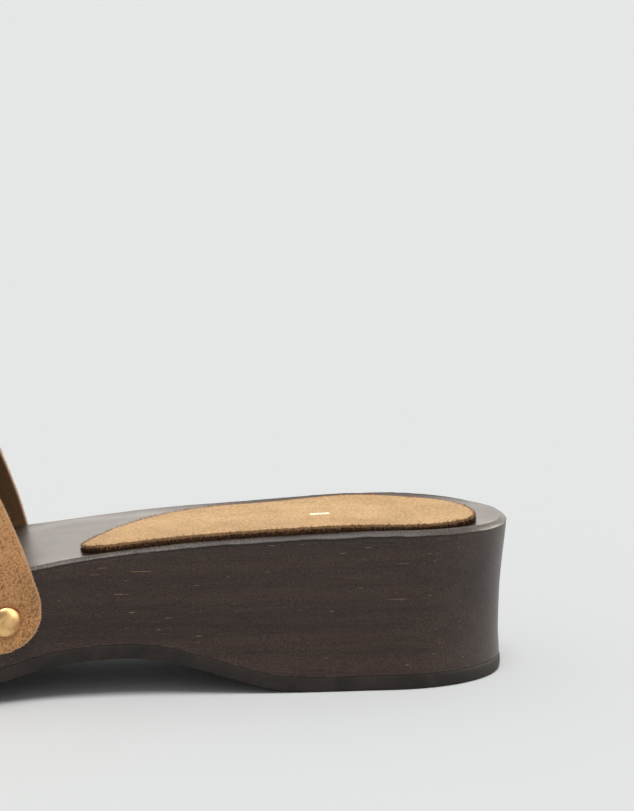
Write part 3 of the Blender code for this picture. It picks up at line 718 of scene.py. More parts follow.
# ---- Heel sock ----
@dataclass
class HeelSock:
    """The heel sock: suede over a fibre board with a raw, hairy edge, and a plain foil bar.

    Attributes:
        form: The clog's shape.
        plan: How the outline is shared out.
        back_margin: Bare wood behind the sock.
        tip: Station of its tip.
        board: Thickness of the fibre board.
        suede: Thickness of the suede.
        edge_waver: Unevenness of the cut edge.
        mark_station: Middle of the foil bar.
        mark_y: The bar's distance from the centre line.
        mark_size: The bar's length, width and thickness.
        outline: Round the sock, (share of its length, share of the half width towards the outer side).
    """

    form: ClogForm
    plan: LoopPlan = LoopPlan(280, 46, (0.045, 0.435, 0.520, 0.945))
    back_margin: float = 11.0 * MM
    tip: float = 131 * MM
    board: float = 1.35 * MM
    suede: float = 0.75 * MM
    edge_waver: float = 0.26 * MM
    mark_station: float = 57.8 * MM
    mark_y: float = -1.9 * MM
    mark_size: tuple[float, float, float] = (6.2 * MM, 1.7 * MM, 0.05 * MM)
    outline: Pairs = (
        (0.00, -0.28), (0.017, -0.60), (0.05, -0.745), (0.12, -0.85), (0.24, -0.90), (0.40, -0.94),
        (0.58, -0.94), (0.78, -0.94), (0.90, -0.94), (0.97, -0.88), (1.00, -0.75), (0.97, -0.52),
        (0.90, -0.14), (0.79, 0.25), (0.66, 0.52), (0.53, 0.66), (0.40, 0.74), (0.28, 0.77), (0.17, 0.71),
        (0.075, 0.55), (0.018, 0.20),
    )

    def loop(self) -> np.ndarray:
        """The sock's outline as (s, y) points."""
        share, across = np.array(self.outline).T
        s = self.back_margin + (self.tip - self.back_margin) * share
        half = np.maximum(self.form.half_width(s), self.form.heel_width / 2 * 0.8)
        knots = np.stack([s, self.form.centre(s) + across * half], 1)
        t = np.linspace(0, 1, 24, endpoint=False)[:, None]
        pieces = []
        for i in range(len(knots)):
            a, b, c, d = (knots[(i + k) % len(knots)] for k in (-1, 0, 1, 2))
            square, cube = a - 2.5 * b + 2 * c - d / 2, 1.5 * (b - c) + (d - a) / 2
            pieces.append(b + t * (c - a) / 2 + t**2 * square + t**3 * cube)
        return self.plan.sample(np.concatenate([*pieces, pieces[0][:1]]))

    def layer(self, name: str, lift: float, section: Pairs, seed: float) -> bpy.types.Object:
        """Makes one layer that follows the footbed.

        Args:
            name: The object's name.
            lift: Height of its underside over the footbed.
            section: The cut edge from the top: (distance inside the outline, height over the underside).
            seed: Picks the edge's unevenness.

        Returns:
            The object.
        """
        form, loop = self.form, self.loop()
        normals, floor = plan_normals(loop), form.footbed(loop[:, 0], loop[:, 1])
        rings = []
        for inside, height in section:
            cloud = np.column_stack([loop, np.full(len(loop), height)])
            shake = ripple(cloud, 1.3 * MM, seed) + 0.6 * ripple(cloud, 0.55 * MM, seed)
            ring = loop - normals * (inside + self.edge_waver * (shake + 0.3))[:, None]
            rings.append(np.column_stack([ring, floor + lift + height]))
        edge = [np.full(len(loop), 1.0 if number else 0.4) for number in range(len(rings))]
        thickness = section[0][1]
        return lofted(
            name, form, self.plan, rings, lambda s, y: form.footbed(s, y) + lift + thickness,
            lambda s, y: form.footbed(s, y) + lift, cut_edge=edge,
        )

    def foil_mark(self, lift: float) -> bpy.types.Object:
        """Makes the plain rounded foil bar on the sock."""
        length, width, thickness = self.mark_size
        turns = np.linspace(0, 2 * math.pi, 33)[:-1]
        cap = (length - width) / 2
        ring = np.stack(
            [np.cos(turns) * width / 2 + np.where(np.cos(turns) > 0, cap, -cap), np.sin(turns) * width / 2], 1
        )
        ring += (self.mark_station, self.form.centre(self.mark_station) + self.mark_y)
        z = self.form.footbed(ring[:, 0], ring[:, 1]) + lift
        low, high = np.column_stack([ring, z]), np.column_stack([ring, z + thickness])
        n = len(ring)
        sides = [(i, (i + 1) % n, n + (i + 1) % n, n + i) for i in range(n)]
        faces = [tuple(range(n))[::-1], tuple(range(n, 2 * n)), *sides]
        return mesh_object("foil_bar", self.form.place(np.concatenate([low, high])), faces)

    def build(self, board: bpy.types.Material, suede: bpy.types.Material, foil: bpy.types.Material) -> None:
        """Makes both layers, the loose fibres along the cut edge and the foil bar.

        Args:
            board: The fibre board.
            suede: The sock's suede.
            foil: The foil bar's metal.
        """
        lift, gap = 0.05 * MM, 0.03 * MM
        b, t = self.board, self.suede
        base_section = (
            (0.05 * MM, b), (0.0, b * 0.8), (-0.02 * MM, b * 0.55), (0.0, b * 0.3), (0.06 * MM, 0.0)
        )
        base = self.layer("sock_fibre_board", lift, base_section, 3)
        finish_piece(base, Slot.BOARD, board, "heel_sock_base")
        cover_section = (
            (0.35 * MM, t), (0.16 * MM, t * 0.95), (0.05 * MM, t * 0.78), (0.0, t * 0.45), (0.05 * MM, 0.0)
        )
        cover = self.layer("sock_suede", lift + b + gap, cover_section, 4)
        finish_piece(cover, Slot.SOCK, suede, "heel_sock_cover")
        for seed, piece, slot, finish in ((11, base, Slot.BOARD, board), (12, cover, Slot.SOCK, suede)):
            fibres = EdgeFibres(density=14.0e6, length=0.75 * MM, radius=0.085 * MM, seed=seed)
            finish_piece(fibres.grow(piece, f"{piece.name}_fibres", finish), slot, None)
        finish_piece(self.foil_mark(lift + b + gap + t + 0.01 * MM), Slot.BRASS, foil)


# ---- Upper ----
@dataclass
class Upper:
    """The upper: lining, toe puff and suede, lasted over one surface and nailed to the wood.

    Attributes:
        form: The clog's shape.
        rear_columns: Columns from the rear edge to the toe puff.
        toe_columns: Columns from there to the toe tip.
        skirt_rows: Rows from the lower edge to the rim.
        arch_rows: Rows from the rim to the ridge.
        lining: Thickness of the lining.
        puff: Thickness of the toe puff.
        suede: Thickness of the suede.
        puff_station: Where the toe puff starts.
        puff_fade: Stations between which the suede lifts to make room for it.
        edge_round: Rounding of the suede's cut edge.
        sag: How uneven the suede's outer face is.
        sag_size: Distance over which that changes.
        seat_depth: How far a stud's head pulls the suede in.
        pillow: How far the suede swells round a stud.
    """

    form: ClogForm
    rear_columns: int = 64
    toe_columns: int = 84
    skirt_rows: int = 20
    arch_rows: int = 52
    lining: float = 0.9 * MM
    puff: float = 0.6 * MM
    suede: float = 1.5 * MM
    puff_station: float = 206 * MM
    puff_fade: tuple[float, float] = (182 * MM, 194 * MM)
    edge_round: float = 0.5 * MM
    sag: float = 0.22 * MM
    sag_size: float = 24 * MM
    seat_depth: float = 0.75 * MM
    pillow: float = 0.28 * MM

    def __post_init__(self) -> None:
        """Lays the lasted surface out as a grid with outward directions."""
        near_edge = np.array([0.0, 0.10, 0.25, 0.5, 0.9]) * MM
        skirt = np.concatenate([near_edge / (22 * MM), np.linspace(0.09, 1, self.skirt_rows)])
        arch = np.linspace(0, math.pi / 2, self.arch_rows + 1)[1:]
        levels = [(share, 0.0) for share in skirt] + [(1.0, angle) for angle in arch]
        toe_run = self.form.length - self.puff_station
        toe = self.form.length - toe_run * (1 - np.linspace(0, 1, self.toe_columns + 1)) ** 2
        points, stations, edges = [], [], []
        for level in levels:
            halves = []
            for side in Side:
                start = self.form.rear_station(side, *level)
                rear = np.linspace(start + 1.8 * MM, self.puff_station, self.rear_columns, endpoint=False)
                s = np.concatenate([start + near_edge, rear, toe])
                halves.append((self.form.upper_points(side, s, *level), s, s - start))
            inner, outer = halves
            points.append(np.concatenate([inner[0], outer[0][-2::-1]]))
            stations.append(np.concatenate([inner[1], outer[1][-2::-1]]))
            edges.append(np.concatenate([inner[2], outer[2][-2::-1]]))
        self.rows, self.columns = len(levels), len(stations[0])
        self.points = np.array(points)
        self.stations = np.array(stations)
        drop = np.linalg.norm(np.diff(self.points, axis=0), axis=2)
        up = np.concatenate([np.zeros((1, self.columns)), np.cumsum(drop, axis=0)])
        self.edge_distance = np.minimum(np.array(edges), up)
        self.normals = self.directions()

    def directions(self) -> np.ndarray:
        """Outward directions over the grid, the two sides agreeing along the ridge."""
        along = np.gradient(self.points, axis=1)
        mirrored = np.concatenate([self.points, self.points[-2:-1, ::-1]])
        across = np.gradient(mirrored, axis=0)[:-1]
        normals = np.cross(across, along)
        normals[-1] += normals[-1, ::-1]
        normals /= np.maximum(np.linalg.norm(normals, axis=2), 1e-15)[..., None]
        return normals * np.sign(normals[0, self.columns // 2, 0])

    def shell(
        self, name: str, inner: np.ndarray, outer: np.ndarray, rows: int = 0, first: int = 0,
        **attributes: np.ndarray,
    ) -> bpy.types.Object:
        """Makes a closed shell between two distances off the lasted surface.

        Args:
            name: The object's name.
            inner: Distance of its inner face, for each grid place.
            outer: Distance of its outer face, for each grid place.
            rows: Rows left out at the bottom.
            first: Columns left out at each rear edge.
            **attributes: A value for each grid place, by attribute name.

        Returns:
            The object.
        """
        cut = (slice(rows, None), slice(first, self.columns - first))
        points, normals = self.points[cut], self.normals[cut]
        height, width = points.shape[:2]
        ids = np.arange(height * width).reshape(height, width)
        ids[-1] = np.minimum(ids[-1], ids[-1, ::-1])
        a, b, c, d = (x.ravel() for x in (ids[:-1, :-1], ids[:-1, 1:], ids[1:, 1:], ids[1:, :-1]))
        keep = (c != d) | (a != b)
        sheet = np.stack([a, b, c, d], 1)[keep]
        size = height * width
        border = np.concatenate([ids[::-1, 0], ids[0, 1:], ids[1:, -1]])
        wall = np.stack([border[:-1], border[1:], border[1:] + size, border[:-1] + size], 1)
        faces = [*sheet.tolist(), *(sheet[:, ::-1] + size).tolist(), *wall.tolist()]
        places = [points + normals * d[cut][..., None] for d in (inner, outer)]
        cloud = np.concatenate([p.reshape(-1, 3) for p in places])
        used = np.unique(np.concatenate([np.unique(sheet), np.unique(sheet) + size]))
        renumber = np.full(2 * size, -1)
        renumber[used] = np.arange(len(used))
        faces = [list(dict.fromkeys(renumber[list(face)].tolist())) for face in faces]
        faces = [face for face in faces if len(face) > 2]
        values = {k: np.concatenate([v[cut].ravel(), v[cut].ravel()])[used] for k, v in attributes.items()}
        return mesh_object(name, self.form.place(cloud[used]), faces, 60.0, **values)

    def build(self, studs: "Studs", finishes: dict[Slot, bpy.types.Material]) -> None:
        """Makes the lining, the toe puff, the suede and the loose fibres on its cut edge.

        Args:
            studs: Where the studs pull the suede in.
            finishes: The materials by slot.
        """
        nothing = np.zeros_like(self.stations)
        room = self.puff * smoothstep(*self.puff_fade, self.stations)
        ease = self.edge_round - np.sqrt(
            self.edge_round**2 - np.clip(self.edge_round - self.edge_distance, 0, self.edge_round) ** 2
        )
        edge = 1 - smoothstep(0.0, 1.2 * MM, self.edge_distance)
        lining = self.shell("lining", nothing, nothing + self.lining, rows=5, cut_edge=edge)
        finish_piece(lining, Slot.LINING, finishes[Slot.LINING], "upper_lining")
        puff_rows = self.rows - self.arch_rows - 4
        start = self.columns // 2 - self.toe_columns
        puff_inner = nothing + self.lining
        puff = self.shell("toe_stiffener", puff_inner, puff_inner + self.puff, puff_rows, start)
        finish_piece(puff, Slot.PUFF, finishes[Slot.PUFF], "toe_puff")
        flat = self.points.reshape(-1, 3)
        sag = ripple(flat, self.sag_size, 5).reshape(self.stations.shape) * self.sag
        pull = studs.pull(flat, self.seat_depth, self.pillow).reshape(self.stations.shape)
        bottom = self.lining + 0.02 * MM + room
        outer = bottom + self.suede - ease * 0.9 + pull + sag * smoothstep(0, 4 * MM, self.edge_distance)
        suede = self.shell("suede_upper", bottom, outer, cut_edge=edge)
        finish_piece(suede, Slot.SUEDE, finishes[Slot.SUEDE], "upper_suede")
        fibres = EdgeFibres(density=5.0e6, length=0.50 * MM, radius=0.06 * MM, seed=21)
        finish_piece(fibres.grow(suede, "suede_upper_fibres", finishes[Slot.SUEDE]), Slot.SUEDE, None)


# ---- Geometry Nodes ----
class Graph:
    """Adds and joins nodes in one tree."""

    def __init__(self, tree: bpy.types.NodeTree) -> None:
        """Keeps the tree that the nodes go in."""
        self.tree = tree

    def node(self, kind: str, inputs: Values | None = None, **settings: object) -> bpy.types.Node:
        """Adds a node.

        Args:
            kind: The node's type.
            inputs: A value or another node's output for each input, by name or number.
            **settings: The node's own settings.

        Returns:
            The node.
        """
        made = self.tree.nodes.new(kind)
        for key, value in settings.items():
            setattr(made, key, value)
        for key, value in (inputs or {}).items():
            if isinstance(value, bpy.types.NodeSocket):
                self.tree.links.new(value, made.inputs[key])
            else:
                made.inputs[key].default_value = value
        return made

    def add(self, kind: str, inputs: Values | None = None, out: str | int = 0, **settings: object) -> object:
        """Adds a node and gives one of its outputs."""
        return self.node(kind, inputs, **settings).outputs[out]

    def math(self, operation: str, a: object, b: object = 0.0, clamp: bool = False) -> object:
        """Adds a Math node and gives its result."""
        return self.add("ShaderNodeMath", {0: a, 1: b}, operation=operation, use_clamp=clamp)

    def times(self, a: object, b: object, clamp: bool = False) -> object:
        """Multiplies two values."""
        return self.math("MULTIPLY", a, b, clamp)

    def plus(self, a: object, b: object) -> object:
        """Adds two values."""
        return self.math("ADD", a, b)

    def blend(self, a: object, b: object, share: float) -> object:
        """Takes a share of the first value and the rest from the second."""
        return self.plus(self.times(a, share), self.times(b, 1 - share))

    def one_over(self, size: object) -> object:
        """Turns a size into a texture's scale."""
        return self.math("DIVIDE", 1.0, size)

    def vector(self, operation: str, inputs: Values) -> object:
        """Adds a Vector Math node and gives its result."""
        return self.add("ShaderNodeVectorMath", inputs, operation=operation)

    def noise(self, place: object, scale: object, detail: float, **more: float) -> object:
        """Adds a noise texture and gives its value."""
        return self.add("ShaderNodeTexNoise", {"Vector": place, "Scale": scale, "Detail": detail, **more})

    def random(self, low: float, high: float, seed: object) -> object:
        """Gives a random number for each point."""
        span = {2: low, 3: high, "Seed": seed}
        return self.add("FunctionNodeRandomValue", span, 1, data_type="FLOAT")

    def scatter(
        self, points: object, instance: object, rotation: object, scale: object, dress: object
    ) -> object:
        """Puts an instance on each point, realises them all and dresses them in a material."""
        inputs = {"Points": points, "Instance": instance, "Rotation": rotation, "Scale": scale}
        placed = self.add("GeometryNodeInstanceOnPoints", inputs)
        real = self.add("GeometryNodeRealizeInstances", {"Geometry": placed})
        return self.add("GeometryNodeSetMaterial", {"Geometry": real, "Material": dress})

    def give(self, result: bpy.types.Node, **values: object) -> bpy.types.NodeTree:
        """Joins values to the group's outputs and gives the finished tree."""
        for key, value in values.items():
            self.tree.links.new(value, result.inputs[key])
        return self.tree

    def ramp(
        self, value: object, low: float, high: float, to_low: float = 0.0, to_high: float = 1.0
    ) -> object:
        """Maps low..high to to_low..to_high, held at both ends."""
        places = {"Value": value, "From Min": low, "From Max": high, "To Min": to_low, "To Max": to_high}
        return self.add("ShaderNodeMapRange", places, "Result")

    def mix(self, share: object, a: object, b: object, blend: str = "MIX") -> object:
        """Mixes two colours."""
        colours = {0: share, 6: rgba(a), 7: rgba(b)}
        return self.add("ShaderNodeMix", colours, 2, data_type="RGBA", blend_type=blend)


def rgba(colour: object) -> object:
    """Adds the alpha to a plain colour, and passes a socket through."""
    return (*colour, 1.0) if isinstance(colour, tuple) else colour


def new_group(
    kind: str, name: str, inputs: dict[str, object], outputs: list[str]
) -> tuple[Graph, bpy.types.bpy_prop_collection, bpy.types.Node]:
    """Starts a node group with named sockets.

    Args:
        kind: "ShaderNodeTree" or "GeometryNodeTree".
        name: The group's name.
        inputs: Each input's default. A str is a socket type without one, and a tuple is a vector.
        outputs: Names of the outputs. One called Geometry is a geometry.

    Returns:
        The graph, the sockets that the group is given, and its output node.
    """
    tree = bpy.data.node_groups.new(name, kind)
    plain = {int: "NodeSocketInt", float: "NodeSocketFloat", tuple: "NodeSocketVector"}
    for key, value in inputs.items():
        socket = value if isinstance(value, str) else plain[type(value)]
        made = tree.interface.new_socket(name=key, in_out="INPUT", socket_type=socket)
        if socket != value:
            made.default_value = value
    for key in outputs:
        kinds = "NodeSocketGeometry" if key == "Geometry" else "NodeSocketFloat"
        tree.interface.new_socket(name=key, in_out="OUTPUT", socket_type=kinds)
    graph = Graph(tree)
    return graph, graph.node("NodeGroupInput").outputs, graph.node("NodeGroupOutput")


def run_tree(
    piece: bpy.types.Object, tree: bpy.types.NodeTree, name: str, values: dict[str, object]
) -> bpy.types.Object:
    """Runs a geometry tree on a piece and gives what it makes as a plain mesh.

    Args:
        piece: The object that the tree reads, which stays as it is.
        tree: The geometry tree.
        name: The new object's name.
        values: A value for each named input.

    Returns:
        The new object, linked to the scene.
    """
    modifier = piece.modifiers.new(name, "NODES")
    modifier.node_group = tree
    for item in tree.interface.items_tree:
        if item.item_type == "SOCKET" and item.in_out == "INPUT" and item.name in values:
            modifier[item.identifier] = values[item.name]
    graph = bpy.context.evaluated_depsgraph_get()
    mesh = bpy.data.meshes.new_from_object(piece.evaluated_get(graph), depsgraph=graph)
    piece.modifiers.remove(modifier)
    mesh.name = name
    return linked(name, mesh)


@dataclass
class EdgeFibres:
    """Short loose fibres along a cut edge.

    Attributes:
        density: Fibres in a square metre of edge.
        length: Mean length of a fibre.
        radius: Radius at its root.
        tilt: How far a fibre leans at most, in radians.
        seed: Fixes where they grow.
    """

    density: float
    length: float
    radius: float
    tilt: float = 0.9
    seed: int = 1

    @staticmethod
    def tree() -> bpy.types.NodeTree:
        """Builds the geometry tree once."""
        found = bpy.data.node_groups.get("edge_fibres")
        if found:
            return found
        sizes = {"Density": 1.0, "Length": 0.001, "Radius": 0.0001, "Tilt": 0.5, "Seed": 0}
        inputs = {"Geometry": "NodeSocketGeometry", **sizes, "Material": "NodeSocketMaterial"}
        g, given, result = new_group("GeometryNodeTree", "edge_fibres", inputs, ["Geometry"])
        edge = g.add("GeometryNodeInputNamedAttribute", {"Name": "cut_edge"}, "Attribute", data_type="FLOAT")
        limit = {0: edge, 1: 0.75}
        on_edge = g.add("FunctionNodeCompare", limit, operation="GREATER_THAN", data_type="FLOAT")
        where = {"Mesh": given["Geometry"], "Selection": on_edge, "Density": given["Density"]}
        spread = g.node("GeometryNodeDistributePointsOnFaces", {**where, "Seed": given["Seed"]}).outputs
        lean = g.vector("SCALE", {0: (1, 1, 1), "Scale": given["Tilt"]})
        back = g.vector("SCALE", {0: lean, "Scale": -1.0})
        reach = {"Min": back, "Max": lean, "Seed": given["Seed"]}
        turn = g.add("FunctionNodeRandomValue", reach, data_type="FLOAT_VECTOR")
        turns = {"Rotation": spread["Rotation"], "Rotate By": turn}
        rotation = g.add("FunctionNodeRotateRotation", turns, rotation_space="LOCAL")
        cone = {"Vertices": 3, "Radius Top": 0.0, "Radius Bottom": given["Radius"], "Depth": given["Length"]}
        hair = g.add("GeometryNodeMeshCone", cone, "Mesh")
        size = g.random(0.35, 1.5, given["Seed"])
        fibres = g.scatter(spread["Points"], hair, rotation, size, given["Material"])
        return g.give(result, Geometry=fibres)

    def grow(self, piece: bpy.types.Object, name: str, material: bpy.types.Material) -> bpy.types.Object:
        """Grows the fibres on a piece.

        Args:
            piece: The piece, whose cut_edge attribute says where they grow.
            name: Name of the new object.
            material: The fibres' material.

        Returns:
            The fibres as one mesh.
        """
        sizes = {"Density": self.density, "Length": self.length, "Radius": self.radius, "Tilt": self.tilt}
        values = {**sizes, "Seed": self.seed, "Material": material}
        return run_tree(piece, self.tree(), name, values)


@dataclass
class Studs:
    """The dome-headed brass nails along the upper's lower edge.

    Attributes:
        form: The clog's shape.
        count: How many there are.
        head_radius: Radius of a head.
        head_height: Height of its dome.
        head_edge: Upright edge under the dome.
        shank_radius: Radius of the nail.
        shank_length: Length of the nail.
        from_rear: Distance from the upper's rear corner to the first stud.
        above_edge: Distance from the upper's lower edge to the studs.
        off_form: Distance from the lasted surface to a head's flat back.
    """

    form: ClogForm
    count: int = 13
    head_radius: float = 4.7 * MM
    head_height: float = 2.0 * MM
    head_edge: float = 0.45 * MM
    shank_radius: float = 0.9 * MM
    shank_length: float = 11.5 * MM
    from_rear: float = 11.0 * MM
    above_edge: float = 9.5 * MM
    off_form: float = 2.35 * MM

    def __post_init__(self) -> None:
        """Finds where the studs go, on the lasted surface, and the way they face."""
        rings = []
        for side in Side:
            points, normals = self.form.outline[side]
            s = points[:, 0]
            height = self.form.upper_edge(s) + self.above_edge
            offset = self.form.stand_off - self.form.inset(self.form.wall_share(s, height))
            ring = np.column_stack([points + normals * offset[:, None], height])
            rings.append(ring[ring[:, 0] >= self.form.upper_rear + self.from_rear])
        ring = np.concatenate([rings[0], rings[1][-2::-1]])
        shares = np.linspace(0, 1, self.count)
        self.places = along_line(ring, shares)
        step = 0.004
        before, after = (along_line(ring, np.clip(shares + d, 0, 1)) for d in (-step, step))
        ahead = after - before
        outward = np.stack([ahead[:, 1], -ahead[:, 0], np.zeros(self.count)], 1)
        outward /= np.linalg.norm(outward, axis=1)[:, None]
        s, z = np.minimum(self.places[:, 0], self.form.length), self.places[:, 2]
        r = self.head_radius
        low, high = (self.form.inset(self.form.wall_share(s, z + d)) for d in (-r, r))
        outward[:, 2] = -(low - high) / (2 * r)
        self.outward = outward / np.linalg.norm(outward, axis=1)[:, None]

    def pull(self, points: np.ndarray, seat: float, pillow: float) -> np.ndarray:
        """How far the studs move the suede's outer face.

        Args:
            points: Places on the lasted surface.
            seat: Depth of the seat under a head.
            pillow: Height of the swelling round it.

        Returns:
            A distance for each place, negative under the heads.
        """
        moved = np.zeros(len(points))
        for place in self.places:
            r = np.linalg.norm(points - place, axis=1) / self.head_radius
            moved -= seat * (1 - smoothstep(0.86, 1.22, r))
            moved += pillow * np.exp(-(((r - 1.55) / 0.33) ** 2))
        return moved

    @staticmethod
    def tree() -> bpy.types.NodeTree:
        """Builds the geometry tree: one nail on each point, turned to the point's outward direction."""
        head = {"Head Radius": 0.005, "Head Height": 0.002, "Head Edge": 0.0005}
        shank = {"Shank Radius": 0.001, "Shank Length": 0.01}
        inputs = {
            "Geometry": "NodeSocketGeometry", **head, **shank, "Seed": 0, "Material": "NodeSocketMaterial",
        }
        g, given, result = new_group("GeometryNodeTree", "dome_nails", inputs, ["Geometry"])
        ball = g.add("GeometryNodeMeshUVSphere", {"Segments": 48, "Rings": 24, "Radius": 1.0}, "Mesh")
        place = g.node("ShaderNodeSeparateXYZ", {0: g.add("GeometryNodeInputPosition")}).outputs
        edge = g.times(given["Head Edge"], -1.0)
        dome = g.times(place[2], given["Head Height"])
        below = g.math("LESS_THAN", place[2], -0.01)
        z = g.plus(g.times(below, edge), g.times(g.math("SUBTRACT", 1.0, below), dome))
        x, y = (g.times(place[k], given["Head Radius"]) for k in (0, 1))
        shaped = g.add("ShaderNodeCombineXYZ", {0: x, 1: y, 2: z})
        domed = g.add("GeometryNodeSetPosition", {"Geometry": ball, "Position": shaped})
        smooth = g.add("GeometryNodeSetShadeSmooth", {"Geometry": domed, "Shade Smooth": True})
        sizes = {"Vertices": 16, "Radius": given["Shank Radius"], "Depth": given["Shank Length"]}
        nail = g.add("GeometryNodeMeshCylinder", sizes, "Mesh")
        seam = 0.02 * MM
        low = g.math("SUBTRACT", g.plus(edge, g.times(given["Shank Length"], -0.5)), seam)
        under = g.add("ShaderNodeCombineXYZ", {2: low})
        lowered = g.add("GeometryNodeTransform", {"Geometry": nail, "Translation": under})
        join = g.node("GeometryNodeJoinGeometry")
        g.tree.links.new(smooth, join.inputs[0])
        g.tree.links.new(lowered, join.inputs[0])
        outward = g.add("GeometryNodeInputNamedAttribute", {"Name": "outward"}, 0, data_type="FLOAT_VECTOR")
        turned = g.add("FunctionNodeAlignRotationToVector", {"Vector": outward}, axis="Z")
        size = g.random(0.985, 1.015, given["Seed"])
        nails = g.scatter(given["Geometry"], join.outputs[0], turned, size, given["Material"])
        return g.give(result, Geometry=nails)

    def build(self, material: bpy.types.Material) -> None:
        """Makes all the studs as one piece.

        Args:
            material: The brass.
        """
        seats = self.form.place(self.places + self.outward * self.off_form)
        mesh = bpy.data.meshes.new("stud_places")
        mesh.from_pydata([tuple(p) for p in seats], [], [])
        outward = (self.outward * (-1, 1, 1)).astype(np.float32).ravel()
        mesh.attributes.new("outward", "FLOAT_VECTOR", "POINT").data.foreach_set("vector", outward)
        guide = linked("stud_places", mesh)
        head = {"Head Radius": self.head_radius, "Head Height": self.head_height, "Head Edge": self.head_edge}
        shank = {"Shank Radius": self.shank_radius, "Shank Length": self.shank_length}
        values = {**head, **shank, "Seed": 5, "Material": material}
        piece = run_tree(guide, self.tree(), "brass_studs", values)
        bpy.data.objects.remove(guide)
        piece.data.set_sharp_from_angle(angle=math.radians(50))
        finish_piece(piece, Slot.BRASS, None, *sorted(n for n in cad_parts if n.startswith("stud_")))


# ---- Effects that several finishes share ----
class Effects:
    """Shader node groups, each built once. They put out colours' tones, masks and heights."""

    def __init__(self) -> None:
        """Builds the groups."""
        self.nap = self.build_nap()
        self.grain = self.build_grain()
        self.pores = self.build_pores()
        self.smudge = self.build_smudge()

    @staticmethod
    def stretched(g: Graph, given: bpy.types.bpy_prop_collection) -> object:
        """Shrinks the place along X, so that what is drawn there gets long."""
        shape = g.add("ShaderNodeCombineXYZ", {0: given["Stretch"], 1: 1.0, 2: 1.0})
        return g.vector("MULTIPLY", {0: given["Vector"], 1: shape})

    @staticmethod
    def build_nap() -> bpy.types.NodeTree:
        """Suede's nap: Tone is tufts round 0.5, Height is their relief, Specks are dark dots."""
        inputs = {"Vector": (0.0, 0.0, 0.0), "Tuft": 0.0008, "Patch": 0.02}
        g, given, result = new_group("ShaderNodeTree", "nap", inputs, ["Tone", "Height", "Specks"])
        v, fine, wide = given["Vector"], g.one_over(given["Tuft"]), g.one_over(given["Patch"])
        tufts = g.noise(v, fine, 4.0, Roughness=0.80)
        hairs = g.noise(v, g.times(fine, 3.1), 1.0)
        patch = g.noise(v, wide, 2.0, Distortion=0.4)
        both = g.blend(tufts, hairs, 0.72)
        cells = {"Vector": v, "Scale": g.times(fine, 0.7)}
        dots = g.add("ShaderNodeTexVoronoi", cells, "Distance", distance="EUCLIDEAN")
        specks = g.times(g.ramp(dots, 0.10, 0.24, 1.0, 0.0), g.ramp(hairs, 0.44, 0.56))
        return g.give(result, Tone=g.blend(both, patch, 0.8), Height=both, Specks=specks)

    @staticmethod
    def build_grain() -> bpy.types.NodeTree:
        """Wood fibres along X: Tone is light and dark fibres round 0.5, Bands are growth rings."""
        inputs = {"Vector": (0.0, 0.0, 0.0), "Fibre": 0.0004, "Stretch": 0.03}
        g, given, result = new_group("ShaderNodeTree", "grain", inputs, ["Tone", "Bands"])
        v, fine = Effects.stretched(g, given), g.one_over(given["Fibre"])
        fibres = g.noise(v, fine, 3.0, Roughness=0.65)
        streaks = g.noise(v, g.times(fine, 0.16), 2.0)
        rings = g.noise(v, g.times(fine, 0.035), 1.5, Distortion=0.8)
        return g.give(result, Tone=g.blend(fibres, streaks, 0.6), Bands=rings)

    @staticmethod
    def build_pores() -> bpy.types.NodeTree:
        """Open pores along X that show as dashes on the sides and as dots on the end grain."""
        inputs = {"Vector": (0.0, 0.0, 0.0), "Spacing": 0.002, "Stretch": 0.08, "Width": 0.08, "Share": 0.3}
        g, given, result = new_group("ShaderNodeTree", "pores", inputs, ["Mask"])
        v = Effects.stretched(g, given)
        cells = g.node("ShaderNodeTexVoronoi", {"Vector": v, "Scale": g.one_over(given["Spacing"])}).outputs
        chance = g.add("ShaderNodeSeparateColor", {0: cells["Color"]})
        chosen = g.math("LESS_THAN", chance, given["Share"])
        near = g.math("SUBTRACT", given["Width"], cells["Distance"])
        soft = g.times(g.math("DIVIDE", near, given["Width"]), 2.5, clamp=True)
        broken = g.noise(v, 1100.0, 1.0)
        return g.give(result, Mask=g.times(g.times(soft, chosen), g.ramp(broken, 0.36, 0.50)))

    @staticmethod
    def build_smudge() -> bpy.types.NodeTree:
        """Handling marks: Mask is cloudy smudges, Scratches are thin lines, Height is fine unevenness."""
        inputs = {"Vector": (0.0, 0.0, 0.0), "Size": 0.012}
        g, given, result = new_group("ShaderNodeTree", "smudge", inputs, ["Mask", "Scratches", "Height"])
        v, wide = given["Vector"], g.one_over(given["Size"])
        cloud = g.noise(v, wide, 4.0, Distortion=0.6)
        fine = g.noise(v, g.times(wide, 22.0), 2.0)
        bent = g.vector("MULTIPLY", {0: v, 1: (1.0, 0.3, 7.0)})
        lines = g.noise(bent, g.times(wide, 3.0), 5.0, Distortion=1.2)
        scratches = g.ramp(g.math("ABSOLUTE", g.math("SUBTRACT", lines, 0.5)), 0.0, 0.006, 1.0, 0.0)
        return g.give(result, Mask=g.ramp(cloud, 0.38, 0.66), Scratches=scratches, Height=fine)


